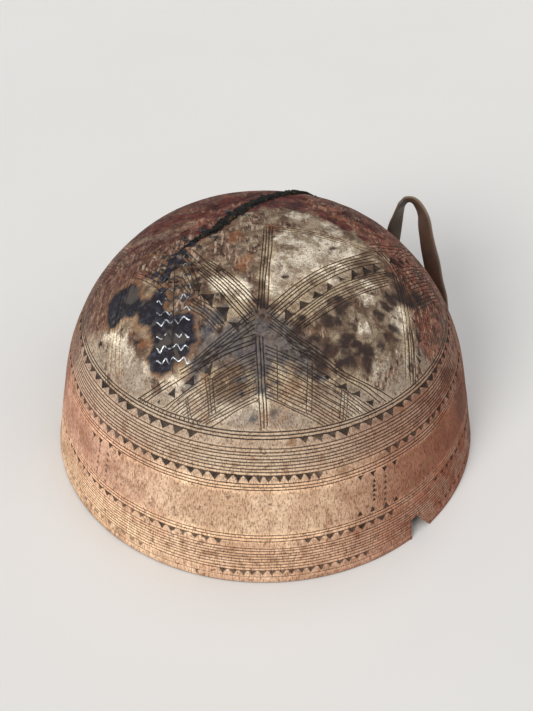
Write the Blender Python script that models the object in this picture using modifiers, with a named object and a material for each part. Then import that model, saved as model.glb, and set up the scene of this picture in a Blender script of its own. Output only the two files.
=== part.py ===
"""A carved wooden milk bowl, standing on its rim, with a pitched and stitched crack and a hide strap.

Metres, +Z up. The origin is the centre of the rim, on the plane that the bowl stands on.
"""
import math

import bmesh
import bpy
import numpy as np
from mathutils import Matrix, Vector

# Fit between neighbours
clearance = 0.0003
overrun = 0.003
weld_distance = 0.00001
sharp_angle = math.radians(32.0)

# Bowl
rim_radius = 0.145
bowl_height = 0.1504
rim_wall = 0.008
base_wall = 0.012
rim_round = 0.0012
turns = 84
steps_between_stations = 3

# The bowl's outline from rim to crown: each station's share of the radius and of the height
outline_shares = (
    (1.0, 0.0),
    (0.941, 0.243),
    (0.869, 0.484),
    (0.7355, 0.709),
    (0.533, 0.890),
    (0.270, 0.972),
    (0.0, 1.0),
)

# Piece broken out of the rim: its middle, its width at the rim and its height
notch_azimuth = math.radians(-49.0)
notch_width = 0.0145
notch_height = 0.0155
notch_lean_share = 0.33
notch_shoulder_share = 0.94

# Crack through the crown. Its way in plan is given in shares of the rim's radius, front to back.
crack_way_shares = (
    (-0.347, -0.605),
    (-0.349, -0.500),
    (-0.352, -0.350),
    (-0.357, -0.210),
    (-0.360, -0.110),
    (-0.300, -0.045),
    (-0.215, 0.020),
    (-0.150, 0.105),
    (-0.075, 0.215),
    (0.015, 0.330),
    (0.085, 0.400),
    (0.170, 0.500),
    (0.260, 0.600),
)
crack_fine_width = 0.0018
crack_wide_width = 0.0052
crack_steps = 4
# Along the crack: where it begins to open up, where it is fully open, and where it closes again
crack_opening_shares = (0.42, 0.56, 0.93)
pitch_crown = 0.0014
pitch_crown_share = 0.74

# Zig-zag wire stitches across the crack, as shares of its length from the front
stitch_place_shares = (
    0.032, 0.063, 0.094, 0.132, 0.158, 0.196, 0.230, 0.265, 0.305, 0.350, 0.415, 0.466, 0.594
)
stitch_span = 0.020
stitch_wave = 0.0014
stitch_pitch = 0.0057
stitch_leg = 0.0055
wire_radius = 0.0005
points_in_wave = 6
drill_sides = 8

# Strap of hide: a loop that swings on two holes near the rim
strap_azimuth = math.radians(37.0)
strap_hole_spacing = 0.065
strap_hole_height = 0.022
strap_standoff = 0.0022
strap_rise = 0.0900
strap_lean = math.radians(5.0)
strap_width = 0.0120
strap_neck_share = 0.70
strap_thickness = 0.0022
strap_edge_round = 0.0007
strap_steps = 4
strap_hole_sides = 16

# Middle line of the loop: across in shares of the hole spacing, up in shares of the rise,
# and the strip's twist in quarter turns
strap_way_shares = (
    (-0.500, 0.000, 0.00),
    (-0.470, 0.150, 0.08),
    (-0.375, 0.290, 0.16),
    (-0.258, 0.415, 0.22),
    (-0.165, 0.545, 0.22),
    (-0.062, 0.668, 0.16),
    (0.025, 0.790, 0.04),
    (0.085, 0.895, -0.08),
    (0.172, 0.975, -0.30),
    (0.300, 1.000, -0.54),
    (0.410, 0.960, -0.66),
    (0.475, 0.880, -0.50),
    (0.492, 0.790, -0.26),
    (0.484, 0.680, -0.18),
    (0.490, 0.350, -0.10),
    (0.500, 0.000, 0.00),
)

# Knot that holds each end of the strap inside the bowl
knot_cord_radius = 0.0015
knot_radius = 0.0062
knot_depth_share = 0.45
knot_points = 36
knot_tail = 0.009

colours = {
    "carved_wood": ((0.52, 0.37, 0.25), 0.72, 0.0),
    "pitch": ((0.03, 0.027, 0.025), 0.55, 0.0),
    "stitch_wire": ((0.62, 0.63, 0.65), 0.35, 1.0),
    "strap_hide": ((0.13, 0.10, 0.075), 0.62, 0.0),
}


def clear_scene():
    for old in list(bpy.data.objects):
        bpy.data.objects.remove(old, do_unlink=True)


def new_collection(name):
    collection = bpy.data.collections.new(name)
    bpy.context.scene.collection.children.link(collection)
    return collection


def material(name):
    """A plain surface with the piece's own colour, roughness and metal value."""
    colour, roughness, metallic = colours[name]
    made = bpy.data.materials.new(name)
    made.use_nodes = True
    shader = made.node_tree.nodes["Principled BSDF"]
    shader.inputs["Base Color"].default_value = (*colour, 1.0)
    shader.inputs["Roughness"].default_value = roughness
    shader.inputs["Metallic"].default_value = metallic
    return made


def new_object(name, data, collection, finish=None):
    made = bpy.data.objects.new(name, data)
    collection.objects.link(made)
    if finish:
        data.materials.append(finish)
    return made


def mark_as_cutter(cutter):
    cutter.hide_render = True
    cutter.display_type = "WIRE"
    return cutter


def add_boolean(piece, cutter, operation="DIFFERENCE"):
    cut = piece.modifiers.new(cutter.name, "BOOLEAN")
    cut.operation = operation
    cut.solver = "EXACT"
    cut.object = cutter


def between(a, b, c, d, share):
    """A point of the smooth curve from b to c, which has a before it and d after it."""
    bend = (2 * a - 5 * b + 4 * c - d) * share**2
    swing = (3 * b - a - 3 * c + d) * share**3
    return (2 * b + (c - a) * share + bend + swing) / 2


def smooth_way(stations, steps, last_mirrored=False):
    """A smooth curve through the stations, with this many steps between two of them."""
    points = np.array(stations, float)
    before = 2 * points[0] - points[1]
    after = 2 * points[-1] - points[-2]
    if last_mirrored:
        after = points[-2] * (-1, 1)
    points = np.vstack([before, points, after])
    way = []
    for a, b, c, d in zip(points, points[1:], points[2:], points[3:]):
        way += [between(a, b, c, d, step / steps) for step in range(steps)]
    way.append(points[-2])
    return np.array(way)


outline_share_way = smooth_way(outline_shares, steps_between_stations, last_mirrored=True)
inner_radius = rim_radius - rim_wall
inner_height = bowl_height - base_wall


def radius_at(height, radius, full_height):
    """The wall's radius at a height, on the side of the bowl that has this radius and full height."""
    return radius * np.interp(height / full_height, outline_share_way[:, 1], outline_share_way[:, 0])


def on_dome(x, y):
    """The point of the outer side above a place in plan, with the way that the surface faces there."""
    shares = outline_share_way[::-1]
    out = math.hypot(x, y) / rim_radius
    height = np.interp(out, shares[:, 0], shares[:, 1]) * bowl_height
    step = np.gradient(shares, axis=0) * (rim_radius, bowl_height)
    slope_out = np.interp(out, shares[:, 0], step[:, 0])
    slope_up = np.interp(out, shares[:, 0], step[:, 1])
    outward = Vector((x, y, 0)).normalized() if out else Vector((1, 0, 0))
    facing = (outward * -slope_up + Vector((0, 0, 1)) * slope_out).normalized()
    return Vector((x, y, height)), facing


def inside_of(point):
    """The point of the inner side that lies under a point of the outer side."""
    share = inner_radius / rim_radius
    return Vector((point.x * share, point.y * share, point.z * inner_height / bowl_height))


class Crack:
    """The crack's way over the dome, measured along the surface."""

    def __init__(self):
        plan = smooth_way(crack_way_shares, crack_steps) * rim_radius
        self.plan = plan
        points = [on_dome(x, y)[0] for x, y in plan]
        lengths = [(b - a).length for a, b in zip(points, points[1:])]
        self.along = np.concatenate([[0.0], np.cumsum(lengths)])
        self.length = self.along[-1]

    def frame(self, share):
        """Point, facing, way along and way across at a share of the crack's length."""
        at = share * self.length
        x, y = (float(np.interp(at, self.along, self.plan[:, k])) for k in range(2))
        point, facing = on_dome(x, y)
        near = self.length / len(self.plan)
        places = [max(0.0, at - near), min(self.length, at + near)]
        ends = []
        for place in places:
            u, v = (float(np.interp(place, self.along, self.plan[:, k])) for k in range(2))
            ends.append(on_dome(u, v)[0])
        onward = (ends[1] - ends[0]).normalized()
        across = onward.cross(facing).normalized()
        onward = facing.cross(across).normalized()
        return point, facing, onward, across

    def width(self, share):
        opens, open_wide, closes = crack_opening_shares
        level = np.interp(share, (opens, open_wide, closes, 1.0), (0.0, 1.0, 1.0, 0.0))
        return crack_fine_width + (crack_wide_width - crack_fine_width) * float(level)


def bar_along(crack, gap, above, below):
    """A closed bar along the crack: above gives its height over the dome, below its depth past the wall."""
    count = len(crack.plan)
    end_gap_share = gap / crack.length
    form = bmesh.new()
    rings = []
    for index in range(count):
        share = min(max(index / (count - 1), end_gap_share), 1 - end_gap_share)
        point, _, _, across = crack.frame(share)
        half = across * (crack.width(share) / 2 - gap)
        through = (point - inside_of(point)).normalized()
        outer = point + through * above(share)
        inner = inside_of(point) - through * below
        ring = [outer + half, outer - half, inner - half, inner + half]
        rings.append([form.verts.new(corner) for corner in ring])
    for first, second in zip(rings, rings[1:]):
        for k in range(4):
            form.faces.new((first[k], first[(k + 1) % 4], second[(k + 1) % 4], second[k]))
    form.faces.new(rings[0][::-1])
    form.faces.new(rings[-1])
    bmesh.ops.recalc_face_normals(form, faces=form.faces)
    mesh = bpy.data.meshes.new("bar")
    form.to_mesh(mesh)
    form.free()
    return mesh


def cylinder_at(form, radius, sides, start, direction, length):
    """Adds a closed cylinder to a bmesh, from start along direction."""
    turn = direction.to_track_quat("Z", "Y").to_matrix().to_4x4()
    place = Matrix.Translation(start + direction * length / 2) @ turn
    bmesh.ops.create_cone(
        form, cap_ends=True, segments=sides, radius1=radius, radius2=radius, depth=length, matrix=place
    )


def mesh_of(form, name):
    mesh = bpy.data.meshes.new(name)
    form.to_mesh(mesh)
    form.free()
    return mesh


def solid_from_curve(curve_object, collection, finish):
    """Replaces a curve by its own closed mesh, under the same name and in the same place."""
    graph = bpy.context.evaluated_depsgraph_get()
    mesh = bpy.data.meshes.new_from_object(curve_object.evaluated_get(graph))
    form = bmesh.new()
    form.from_mesh(mesh)
    bmesh.ops.remove_doubles(form, verts=form.verts, dist=weld_distance)
    bmesh.ops.recalc_face_normals(form, faces=form.faces)
    form.to_mesh(mesh)
    form.free()
    mesh.materials.clear()
    name, place = curve_object.name, curve_object.matrix_world.copy()
    bpy.data.objects.remove(curve_object, do_unlink=True)
    made = new_object(name, mesh, collection, finish)
    made.matrix_world = place
    return made


def shade_smooth(piece):
    piece.data.shade_smooth()
    piece.data.set_sharp_from_angle(angle=sharp_angle)


def wall_profile(radius, height):
    """The points of one side of the wall, from its crown down to just over the rim."""
    side = outline_share_way[::-1] * (radius, height)
    kept = [tuple(p) for p in side if p[1] > rim_round]
    return kept + [(radius_at(rim_round, radius, height), rim_round)]


def make_bowl(parts, finish):
    """The turned and hollowed bowl, one wall of wood from rim to crown."""
    outer = wall_profile(rim_radius, bowl_height)
    inner = wall_profile(inner_radius, inner_height)[::-1]
    foot = [(outer[-1][0] - rim_round, 0.0), (inner[0][0] + rim_round, 0.0)]
    profile = outer + foot + inner
    mesh = bpy.data.meshes.new("bowl")
    mesh.from_pydata([(r, 0.0, z) for r, z in profile], [(i, i + 1) for i in range(len(profile) - 1)], [])
    bowl = new_object("bowl", mesh, parts, finish)
    turn = bowl.modifiers.new("turned", "SCREW")
    turn.axis = "Z"
    turn.angle = math.tau
    turn.steps = turns
    turn.render_steps = turns
    turn.use_merge_vertices = True
    turn.merge_threshold = weld_distance
    return bowl


def make_notch_cutter(cutters):
    """The wedge that is missing from the rim: steep on one side and sloping on the other."""
    half = notch_width / 2
    lean = notch_width * notch_lean_share
    corners = [
        (-half, -overrun),
        (half, -overrun),
        (half + lean / 2, 0.0),
        (-half + lean, notch_height),
        (-half, notch_height * notch_shoulder_share),
    ]
    form = bmesh.new()
    near = [form.verts.new((inner_radius - rim_wall, y, z)) for y, z in corners]
    far = [form.verts.new((rim_radius + rim_wall, y, z)) for y, z in corners]
    for k in range(len(corners)):
        following = (k + 1) % len(corners)
        form.faces.new((near[k], near[following], far[following], far[k]))
    form.faces.new(near[::-1])
    form.faces.new(far)
    bmesh.ops.recalc_face_normals(form, faces=form.faces)
    cutter = new_object("notch_cutter", mesh_of(form, "notch_cutter"), cutters)
    cutter.rotation_euler.z = notch_azimuth
    return mark_as_cutter(cutter)


def make_crack(crack, bowl, parts, cutters, finish):
    """The slot of the crack through the wall, and the pitch that fills it."""
    slot = bar_along(crack, 0.0, lambda share: overrun, overrun)
    cutter = mark_as_cutter(new_object("crack_cutter", slot, cutters))
    add_boolean(bowl, cutter)

    def crown(share):
        middle = (1 + pitch_crown_share) / 2
        return pitch_crown * float(np.interp(share, (pitch_crown_share, middle, 1.0), (0, 1, 0)))

    filling = bar_along(crack, clearance, crown, 0.0)
    return new_object("crack_pitch", filling, parts, finish)


def stitch_way(crack, share):
    """Middle line of one stitch: a leg down into the wood, the zig-zag over the crack, and a leg down."""
    point, facing, onward, across = crack.frame(share)
    waves = stitch_span / stitch_pitch
    count = round(waves * points_in_wave)
    lift = wire_radius + clearance
    way = []
    for index in range(count + 1):
        out = -stitch_span / 2 + stitch_span * index / count
        sway = stitch_wave * math.sin(math.tau * out / stitch_pitch)
        place = point + across * out + onward * sway
        on_wood, wood_facing = on_dome(place.x, place.y)
        way.append((on_wood + wood_facing * lift, wood_facing))
    ends = (way[0], way[-1])
    legs = [top - facing * stitch_leg for top, facing in ends]
    return [legs[0]] + [place for place, _ in way] + [legs[1]], ends


def make_stitches(crack, bowl, parts, cutters, finish):
    """The wire stitches in their rows, and the holes that their legs are driven into."""
    drills = bmesh.new()
    for number, share in enumerate(stitch_place_shares, start=1):
        way, ends = stitch_way(crack, share)
        curve = bpy.data.curves.new(f"stitch_{number:02d}", "CURVE")
        curve.dimensions = "3D"
        curve.bevel_depth = wire_radius
        curve.bevel_resolution = 1
        curve.use_fill_caps = True
        line = curve.splines.new("POLY")
        line.points.add(len(way) - 1)
        for place, node in zip(way, line.points):
            node.co = (*place, 1.0)
        new_object(curve.name, curve, parts, finish)
        for top, facing in ends:
            depth = overrun + stitch_leg + clearance
            cylinder_at(drills, wire_radius + clearance, drill_sides, top + facing * overrun, -facing, depth)
    cutter = mark_as_cutter(new_object("stitch_drills", mesh_of(drills, "stitch_drills"), cutters))
    add_boolean(bowl, cutter)


def strap_frame():
    """The loop's hinge: its middle, the way along it and the way out from the bowl."""
    outward = Vector((math.cos(strap_azimuth), math.sin(strap_azimuth), 0.0))
    along = Vector((-math.sin(strap_azimuth), math.cos(strap_azimuth), 0.0))
    wall = float(radius_at(strap_hole_height, rim_radius, bowl_height))
    middle = outward * (wall + strap_standoff) + Vector((0, 0, strap_hole_height))
    return middle, along, outward


def rounded_strip_section(collection):
    """The strip's cross-section: wide across, thin through, with eased corners."""
    half_width, half_thick, ease = strap_width / 2, strap_thickness / 2, strap_edge_round
    corners = []
    for side_x, side_y in ((1, 1), (-1, 1), (-1, -1), (1, -1)):
        ends = [
            (side_x * half_width, side_y * (half_thick - ease)),
            (side_x * (half_width - ease), side_y * half_thick),
        ]
        corners += ends if side_x * side_y > 0 else ends[::-1]
    curve = bpy.data.curves.new("strip_section", "CURVE")
    curve.dimensions = "2D"
    line = curve.splines.new("POLY")
    line.points.add(len(corners) - 1)
    for (x, y), node in zip(corners, line.points):
        node.co = (x, y, 0.0, 1.0)
    line.use_cyclic_u = True
    return mark_as_cutter(new_object("strip_section", curve, collection))


def make_strap_loop(parts, cutters, finish):
    """The hanging loop: a flat strip that turns over at its top."""
    middle, along, outward = strap_frame()
    way = smooth_way(strap_way_shares, strap_steps)
    curve = bpy.data.curves.new("strap_loop", "CURVE")
    curve.dimensions = "3D"
    curve.twist_mode = "Z_UP"
    curve.bevel_mode = "OBJECT"
    curve.bevel_object = rounded_strip_section(cutters)
    curve.use_fill_caps = True
    line = curve.splines.new("POLY")
    line.points.add(len(way) - 1)
    for (across, up, twist), node in zip(way, line.points):
        node.co = (across * strap_hole_spacing, up * strap_rise, 0.0, 1.0)
        node.tilt = twist * math.pi / 2
        node.radius = min(1.0, strap_neck_share + up)
    loop = new_object("strap_loop", curve, parts)
    upright = Vector((0, 0, 1)) * math.cos(strap_lean) + outward * math.sin(strap_lean)
    through = along.cross(upright)
    turn = Matrix((along, upright, through)).transposed().to_4x4()
    loop.matrix_world = Matrix.Translation(middle) @ turn
    bpy.context.view_layer.update()
    return solid_from_curve(loop, parts, finish)


def make_knot(name, place, outward, collection):
    """An overhand knot drawn tight, as a round cord round a middle point."""
    scale = knot_radius / 3
    curve = bpy.data.curves.new(name, "CURVE")
    curve.dimensions = "3D"
    curve.bevel_depth = knot_cord_radius
    curve.bevel_resolution = 1
    line = curve.splines.new("POLY")
    line.points.add(knot_points - 1)
    line.use_cyclic_u = True
    for index, node in enumerate(line.points):
        t = math.tau * index / knot_points
        x = math.sin(t) + 2 * math.sin(2 * t)
        y = math.cos(t) - 2 * math.cos(2 * t)
        z = -knot_radius * knot_depth_share * math.sin(3 * t)
        node.co = (x * scale, y * scale, z, 1.0)
    knot = new_object(name, curve, collection)
    knot.matrix_world = Matrix.Translation(place) @ outward.to_track_quat("Z", "Y").to_matrix().to_4x4()
    bpy.context.view_layer.update()
    return solid_from_curve(knot, collection, None)


def make_strap_end(side, name, bowl, parts, cutters, finish):
    """One fixed end of the strap: the strip through its hole and the knot inside the bowl."""
    middle, along, outward = strap_frame()
    hole = middle + along * side * strap_hole_spacing / 2
    hinge_gap = strap_thickness / 2 + clearance
    inner_wall = radius_at(strap_hole_height, inner_radius, inner_height)
    half_spacing = strap_hole_spacing / 2
    wall_in = math.sqrt(inner_wall**2 - (half_spacing + knot_radius) ** 2)
    hinge_out = middle.to_2d().length
    knot_depth = knot_cord_radius + knot_radius * knot_depth_share
    knot_out = wall_in - clearance - knot_depth
    strip_end = hinge_out - hinge_gap
    strip_length = strip_end - knot_out + knot_tail

    strip = bmesh.new()
    bmesh.ops.create_cube(strip, size=1)
    neck_width = strap_width * strap_neck_share
    bmesh.ops.scale(strip, vec=(strip_length, neck_width, strap_thickness), verts=strip.verts)
    end = new_object(name, mesh_of(strip, name), parts, finish)
    centre_out = strip_end - strip_length / 2
    end.matrix_world = Matrix.Translation(hole + outward * (centre_out - hinge_out)) @ Matrix.Rotation(
        strap_azimuth, 4, "Z"
    )
    ease = end.modifiers.new("eased", "BEVEL")
    ease.width = strap_edge_round
    ease.segments = 1
    knot = make_knot(name + "_knot", hole + outward * (knot_out - hinge_out), outward, cutters)
    add_boolean(end, mark_as_cutter(knot), "UNION")

    drill = bmesh.new()
    start = hole + outward * overrun
    depth = hinge_out + overrun - wall_in + overrun
    cylinder_at(drill, neck_width / 2 + clearance, strap_hole_sides, start, -outward, depth)
    cutter = mark_as_cutter(new_object(name + "_hole", mesh_of(drill, name + "_hole"), cutters))
    add_boolean(bowl, cutter)


def main():
    clear_scene()
    parts = new_collection("milk_bowl")
    cutters = new_collection("cutters")
    finishes = {name: material(name) for name in colours}
    crack = Crack()
    bowl = make_bowl(parts, finishes["carved_wood"])
    add_boolean(bowl, make_notch_cutter(cutters))
    pitch = make_crack(crack, bowl, parts, cutters, finishes["pitch"])
    make_stitches(crack, bowl, parts, cutters, finishes["stitch_wire"])
    loop = make_strap_loop(parts, cutters, finishes["strap_hide"])
    for side, name in ((-1, "strap_end_right"), (1, "strap_end_left")):
        make_strap_end(side, name, bowl, parts, cutters, finishes["strap_hide"])
    for piece in (bowl, pitch, loop):
        shade_smooth(piece)


main()
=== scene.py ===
"""Looks of a carved wooden milk bowl: its carving, stains, pitched crack, wire stitches and hide strap.

Metres, +Z up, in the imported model's frame. Places on the bowl are given on a round map of its outer
side, in degrees from the crown: (0, 0) is the crown, +X is right, +Y is back, and the rim is at 90.
"""
import math

import bpy
import numpy as np
from mathutils import Matrix, Vector
from mathutils.geometry import delaunay_2d_cdt


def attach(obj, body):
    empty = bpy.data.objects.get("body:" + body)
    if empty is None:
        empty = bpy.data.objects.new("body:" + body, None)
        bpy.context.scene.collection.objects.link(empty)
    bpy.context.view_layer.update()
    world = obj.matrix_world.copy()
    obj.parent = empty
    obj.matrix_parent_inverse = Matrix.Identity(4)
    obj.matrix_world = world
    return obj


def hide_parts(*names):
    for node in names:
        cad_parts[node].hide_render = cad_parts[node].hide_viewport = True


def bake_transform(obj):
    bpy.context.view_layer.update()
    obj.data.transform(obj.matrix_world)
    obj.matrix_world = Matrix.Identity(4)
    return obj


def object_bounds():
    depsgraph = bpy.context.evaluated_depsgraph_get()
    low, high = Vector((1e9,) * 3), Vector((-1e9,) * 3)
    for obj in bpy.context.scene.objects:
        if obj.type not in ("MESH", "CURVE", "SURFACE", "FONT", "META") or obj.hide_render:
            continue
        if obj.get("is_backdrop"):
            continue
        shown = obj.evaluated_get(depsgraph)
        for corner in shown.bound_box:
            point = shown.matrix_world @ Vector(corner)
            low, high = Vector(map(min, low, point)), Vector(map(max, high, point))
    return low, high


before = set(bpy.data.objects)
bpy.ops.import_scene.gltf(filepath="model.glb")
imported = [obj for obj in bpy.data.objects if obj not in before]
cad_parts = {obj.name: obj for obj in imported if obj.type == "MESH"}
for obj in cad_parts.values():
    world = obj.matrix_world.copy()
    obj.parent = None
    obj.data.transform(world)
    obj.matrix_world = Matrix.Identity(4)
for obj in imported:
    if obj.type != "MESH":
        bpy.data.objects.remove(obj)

cad_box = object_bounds()
mm = 0.001

# The bowl's sizes, as in the solids that this dresses
rim_radius = 0.145
bowl_height = 0.1504
rim_wall = 0.008
base_wall = 0.012
rim_round = 0.0012
outline_shares = (
    (1.0, 0.0), (0.941, 0.243), (0.869, 0.484), (0.7355, 0.709), (0.533, 0.890), (0.270, 0.972), (0.0, 1.0),
)
steps_between_stations = 24
map_degree = 2.6 * mm
near_rim = 78

# Notch in the rim: its middle, its size, and its broken edge in shares of its width and height
notch_azimuth = math.radians(-49.0)
notch_width = 0.0145
notch_height = 0.0155
notch_edge_shares = (
    (-0.500, 0.00), (-0.515, 0.30), (-0.490, 0.62), (-0.505, 0.90), (-0.430, 0.96),
    (-0.300, 0.97), (-0.170, 1.00), (-0.060, 0.90), (0.080, 0.73), (0.190, 0.57),
    (0.300, 0.47), (0.440, 0.27), (0.570, 0.12), (0.665, 0.00),
)

# Crack over the crown: its way in plan in shares of the rim's radius, front to back
crack_way_shares = (
    (-0.347, -0.605), (-0.349, -0.500), (-0.352, -0.350), (-0.357, -0.210), (-0.360, -0.110),
    (-0.300, -0.045), (-0.215, 0.020), (-0.150, 0.105), (-0.075, 0.215), (0.015, 0.330),
    (0.085, 0.400), (0.170, 0.500), (0.260, 0.600),
)
crack_fine_width = 0.0004
crack_wide_width = 0.0052
crack_opening_shares = (0.42, 0.56, 0.93)

# The crack's worn edges, and the pitch in it: its steps along and round, and its crumbs
crack_wear = 0.08 * mm
heap_wear = 0.45 * mm
pitch_step = 0.55 * mm
pitch_around = 14
crumb_count = 130
crumb_millimetres = (0.25, 0.75)
crumb_reach_millimetres = (0.3, 2.6)

# Wire stitches across the crack, as shares of its length from the front
stitch_place_shares = (
    0.032, 0.063, 0.094, 0.132, 0.158, 0.196, 0.230, 0.265, 0.305, 0.350, 0.415, 0.466, 0.594
)
stitch_span = 0.020
stitch_wave = 0.0014
stitch_pitch = 0.0057
stitch_leg = 0.0055
stitch_steps = 72
stitch_wander = 0.35 * mm
stitch_unevenness = 0.12
wire_radius = 0.0005

# Strap: its way in shares of the holes' spacing and of the rise, and its turn in quarters
strap_azimuth = math.radians(37.0)
strap_hole_spacing = 0.065
strap_hole_height = 0.022
strap_standoff = 0.0022
strap_rise = 0.0900
strap_lean = math.radians(5.0)
strap_width = 0.0120
strap_neck_share = 0.70
strap_thickness = 0.0022
strap_way_shares = (
    (-0.500, 0.000, 0.00), (-0.470, 0.150, 0.08), (-0.375, 0.290, 0.16), (-0.258, 0.415, 0.22),
    (-0.165, 0.545, 0.22), (-0.062, 0.668, 0.16), (0.025, 0.790, 0.04), (0.088, 0.888, -0.10),
    (0.182, 0.952, -0.24), (0.290, 0.972, -0.50), (0.382, 0.940, -0.95), (0.438, 0.872, -1.12),
    (0.460, 0.790, -1.05), (0.468, 0.690, -0.88), (0.482, 0.350, -0.45), (0.500, 0.000, 0.00),
)
strap_steps_between_stations = 14
strap_pitch = 1.0 * mm
strap_side_steps = 9
strap_edge_wave = 0.35 * mm
strap_cup = 0.5 * mm
strap_rough = 0.10 * mm
strap_free_height = 3.2 * mm
knot_cord_radius = 0.0015
knot_radius = 0.0062
knot_depth_share = 0.45
knot_tail = 0.009
clearance = 0.0003

# Camera: 800 pixels of focal length on a photograph of 533 by 711, aimed so that the middle of the
# rim falls on the pixel named here
photo_size = (533, 711)
focal_pixels = 800
rim_middle_pixel = (265.34, 409.32)
camera_elevation = math.radians(44.29)
camera_distance = 3.981 * rim_radius
camera_roll = math.radians(-0.30)
sensor = 36.0

upward = np.array([0, 0, 1.0])


def unit(ways):
    return ways / np.linalg.norm(ways, axis=1)[:, None]


def left_of(ahead):
    """Ways on the map turned a quarter to the left."""
    return np.column_stack([-ahead[:, 1], ahead[:, 0]])


def ahead_round(way):
    """The ways ahead at the points of a closed way."""
    return np.roll(way, -1, 0) - np.roll(way, 1, 0)


def closed(way):
    return np.vstack([way, way[:1]])


def in_box(places, low, high):
    """Which places lie in a box, as indices."""
    return np.flatnonzero(((places >= low) & (places <= high)).all(1))


def map_place(polar, turn):
    """Places on the map at angles from the crown and azimuths in radians."""
    return np.column_stack([polar * np.cos(turn), polar * np.sin(turn)])


def between(a, b, c, d, share):
    """A point of the smooth curve from b to c, which has a before it and d after it."""
    bend = (2 * a - 5 * b + 4 * c - d) * share**2
    swing = (3 * b - a - 3 * c + d) * share**3
    return (2 * b + (c - a) * share + bend + swing) / 2


def smooth_way(stations, steps, last_mirrored=False):
    """A smooth curve through the stations, with this many steps between two of them."""
    points = np.array(stations, float)
    before = 2 * points[0] - points[1]
    after = points[-2] * (-1, 1) if last_mirrored else 2 * points[-1] - points[-2]
    points = np.vstack([before, points, after])
    way = []
    for a, b, c, d in zip(points, points[1:], points[2:], points[3:]):
        way += [between(a, b, c, d, step / steps) for step in range(steps)]
    return np.array([*way, points[-2]])


def evenly(way, pitch):
    """The same way with its points a pitch apart."""
    lengths = np.linalg.norm(np.diff(way, axis=0), axis=1)
    along = np.concatenate([[0.0], np.cumsum(lengths)])
    count = max(1, round(along[-1] / pitch))
    places = np.linspace(0, along[-1], count + 1)
    return np.stack([np.interp(places, along, way[:, k]) for k in range(way.shape[1])], 1)


def ripple(places, reach, seed, count=7):
    """Smooth waves about zero, none much shorter than reach."""
    chance = np.random.default_rng(seed)
    ways = unit(chance.normal(size=(count, places.shape[1])))
    ways *= math.tau / reach * chance.uniform(0.45, 1.0, count)[:, None]
    return np.sin(places @ ways.T + chance.uniform(0, math.tau, count)).sum(1) / math.sqrt(count)


def smoothstep(low, high, value):
    share = np.clip((value - low) / (high - low), 0, 1)
    return share * share * (3 - 2 * share)


# The outline as a table from crown to rim: angle from the crown, radius, height and facing
outline = smooth_way(outline_shares, steps_between_stations, last_mirrored=True)[::-1]
outline_radius = outline[:, 0] * rim_radius
outline_height = outline[:, 1] * bowl_height
outline_polar = np.degrees(np.arctan2(outline_radius, outline_height))
outline_slope = unit(np.stack([np.gradient(outline_radius), np.gradient(outline_height)], 1))
to_inside = np.array(
    [(rim_radius - rim_wall) / rim_radius] * 2 + [(bowl_height - base_wall) / bowl_height]
)


def on_outside(places):
    """Points of the outer side at places on the map, and the way that the surface faces there."""
    polar = np.hypot(places[:, 0], places[:, 1])
    turn = np.arctan2(places[:, 1], places[:, 0])
    out = np.stack([np.cos(turn), np.sin(turn)], 1)
    radius, height, slope_out, slope_up = (
        np.interp(polar, outline_polar, table)
        for table in (outline_radius, outline_height, outline_slope[:, 0], outline_slope[:, 1])
    )
    points = np.column_stack([out * radius[:, None], height])
    return points, unit(np.column_stack([out * -slope_up[:, None], slope_out]))


def on_inside(places):
    points, facing = on_outside(places)
    return points * to_inside, -facing


def radius_at(height):
    """The outer side's radius at a height."""
    return np.interp(height, outline_height[::-1], outline_radius[::-1])


def map_of_height(turn, height):
    """The place on the map at an azimuth and a height of the outer side."""
    return map_place(np.interp(height, outline_height[::-1], outline_polar[::-1]), turn)


def map_of_plan(plan):
    """The place on the map over a place in plan."""
    polar = np.interp(np.hypot(plan[:, 0], plan[:, 1]), outline_radius, outline_polar)
    return map_place(polar, np.arctan2(plan[:, 1], plan[:, 0]))


class RimEdge:
    """The rim with its notch, counter-clockwise, so that the wood lies to its left."""

    plain_steps = 400
    notch_step = 0.8 * mm
    notch_ragged = 0.12 * mm
    notch_round = 0.35 * mm

    def __init__(self):
        profile = evenly(np.array(notch_edge_shares) * (notch_width, notch_height), self.notch_step)
        inner_size = (len(profile) - 2, 2)
        profile[1:-1] += self.notch_ragged * np.random.default_rng(4).normal(size=inner_size)
        profile[[0, -1], 1] = 0
        first = notch_azimuth + profile[0, 0] / rim_radius
        last = notch_azimuth + profile[-1, 0] / rim_radius
        rest = np.linspace(last, first + math.tau, self.plain_steps)[1:-1]
        self.way = np.vstack([
            np.column_stack([notch_azimuth * rim_radius + profile[:, 0], profile[:, 1]]),
            np.column_stack([rest * rim_radius, np.zeros(len(rest))]),
        ])
        ahead = ahead_round(self.way)
        ahead[0, 0] = 2 * (self.way[1, 0] - self.way[0, 0])
        ahead[-1] = (1, 0)
        self.left = left_of(unit(ahead))
        in_notch = np.arange(len(self.way)) < len(profile)
        self.round = np.where(in_notch, self.notch_round, rim_round)
        self.broken = in_notch[:, None]

    def at(self, inset):
        """The edge on the map, outside and inside, drawn back from the opening by the inset."""
        moved = self.way + self.left * inset[:, None]
        turn = moved[:, 0] / rim_radius
        height = np.maximum(moved[:, 1], 0)
        return map_of_height(turn, height), map_of_height(turn, height / to_inside[2])


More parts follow.
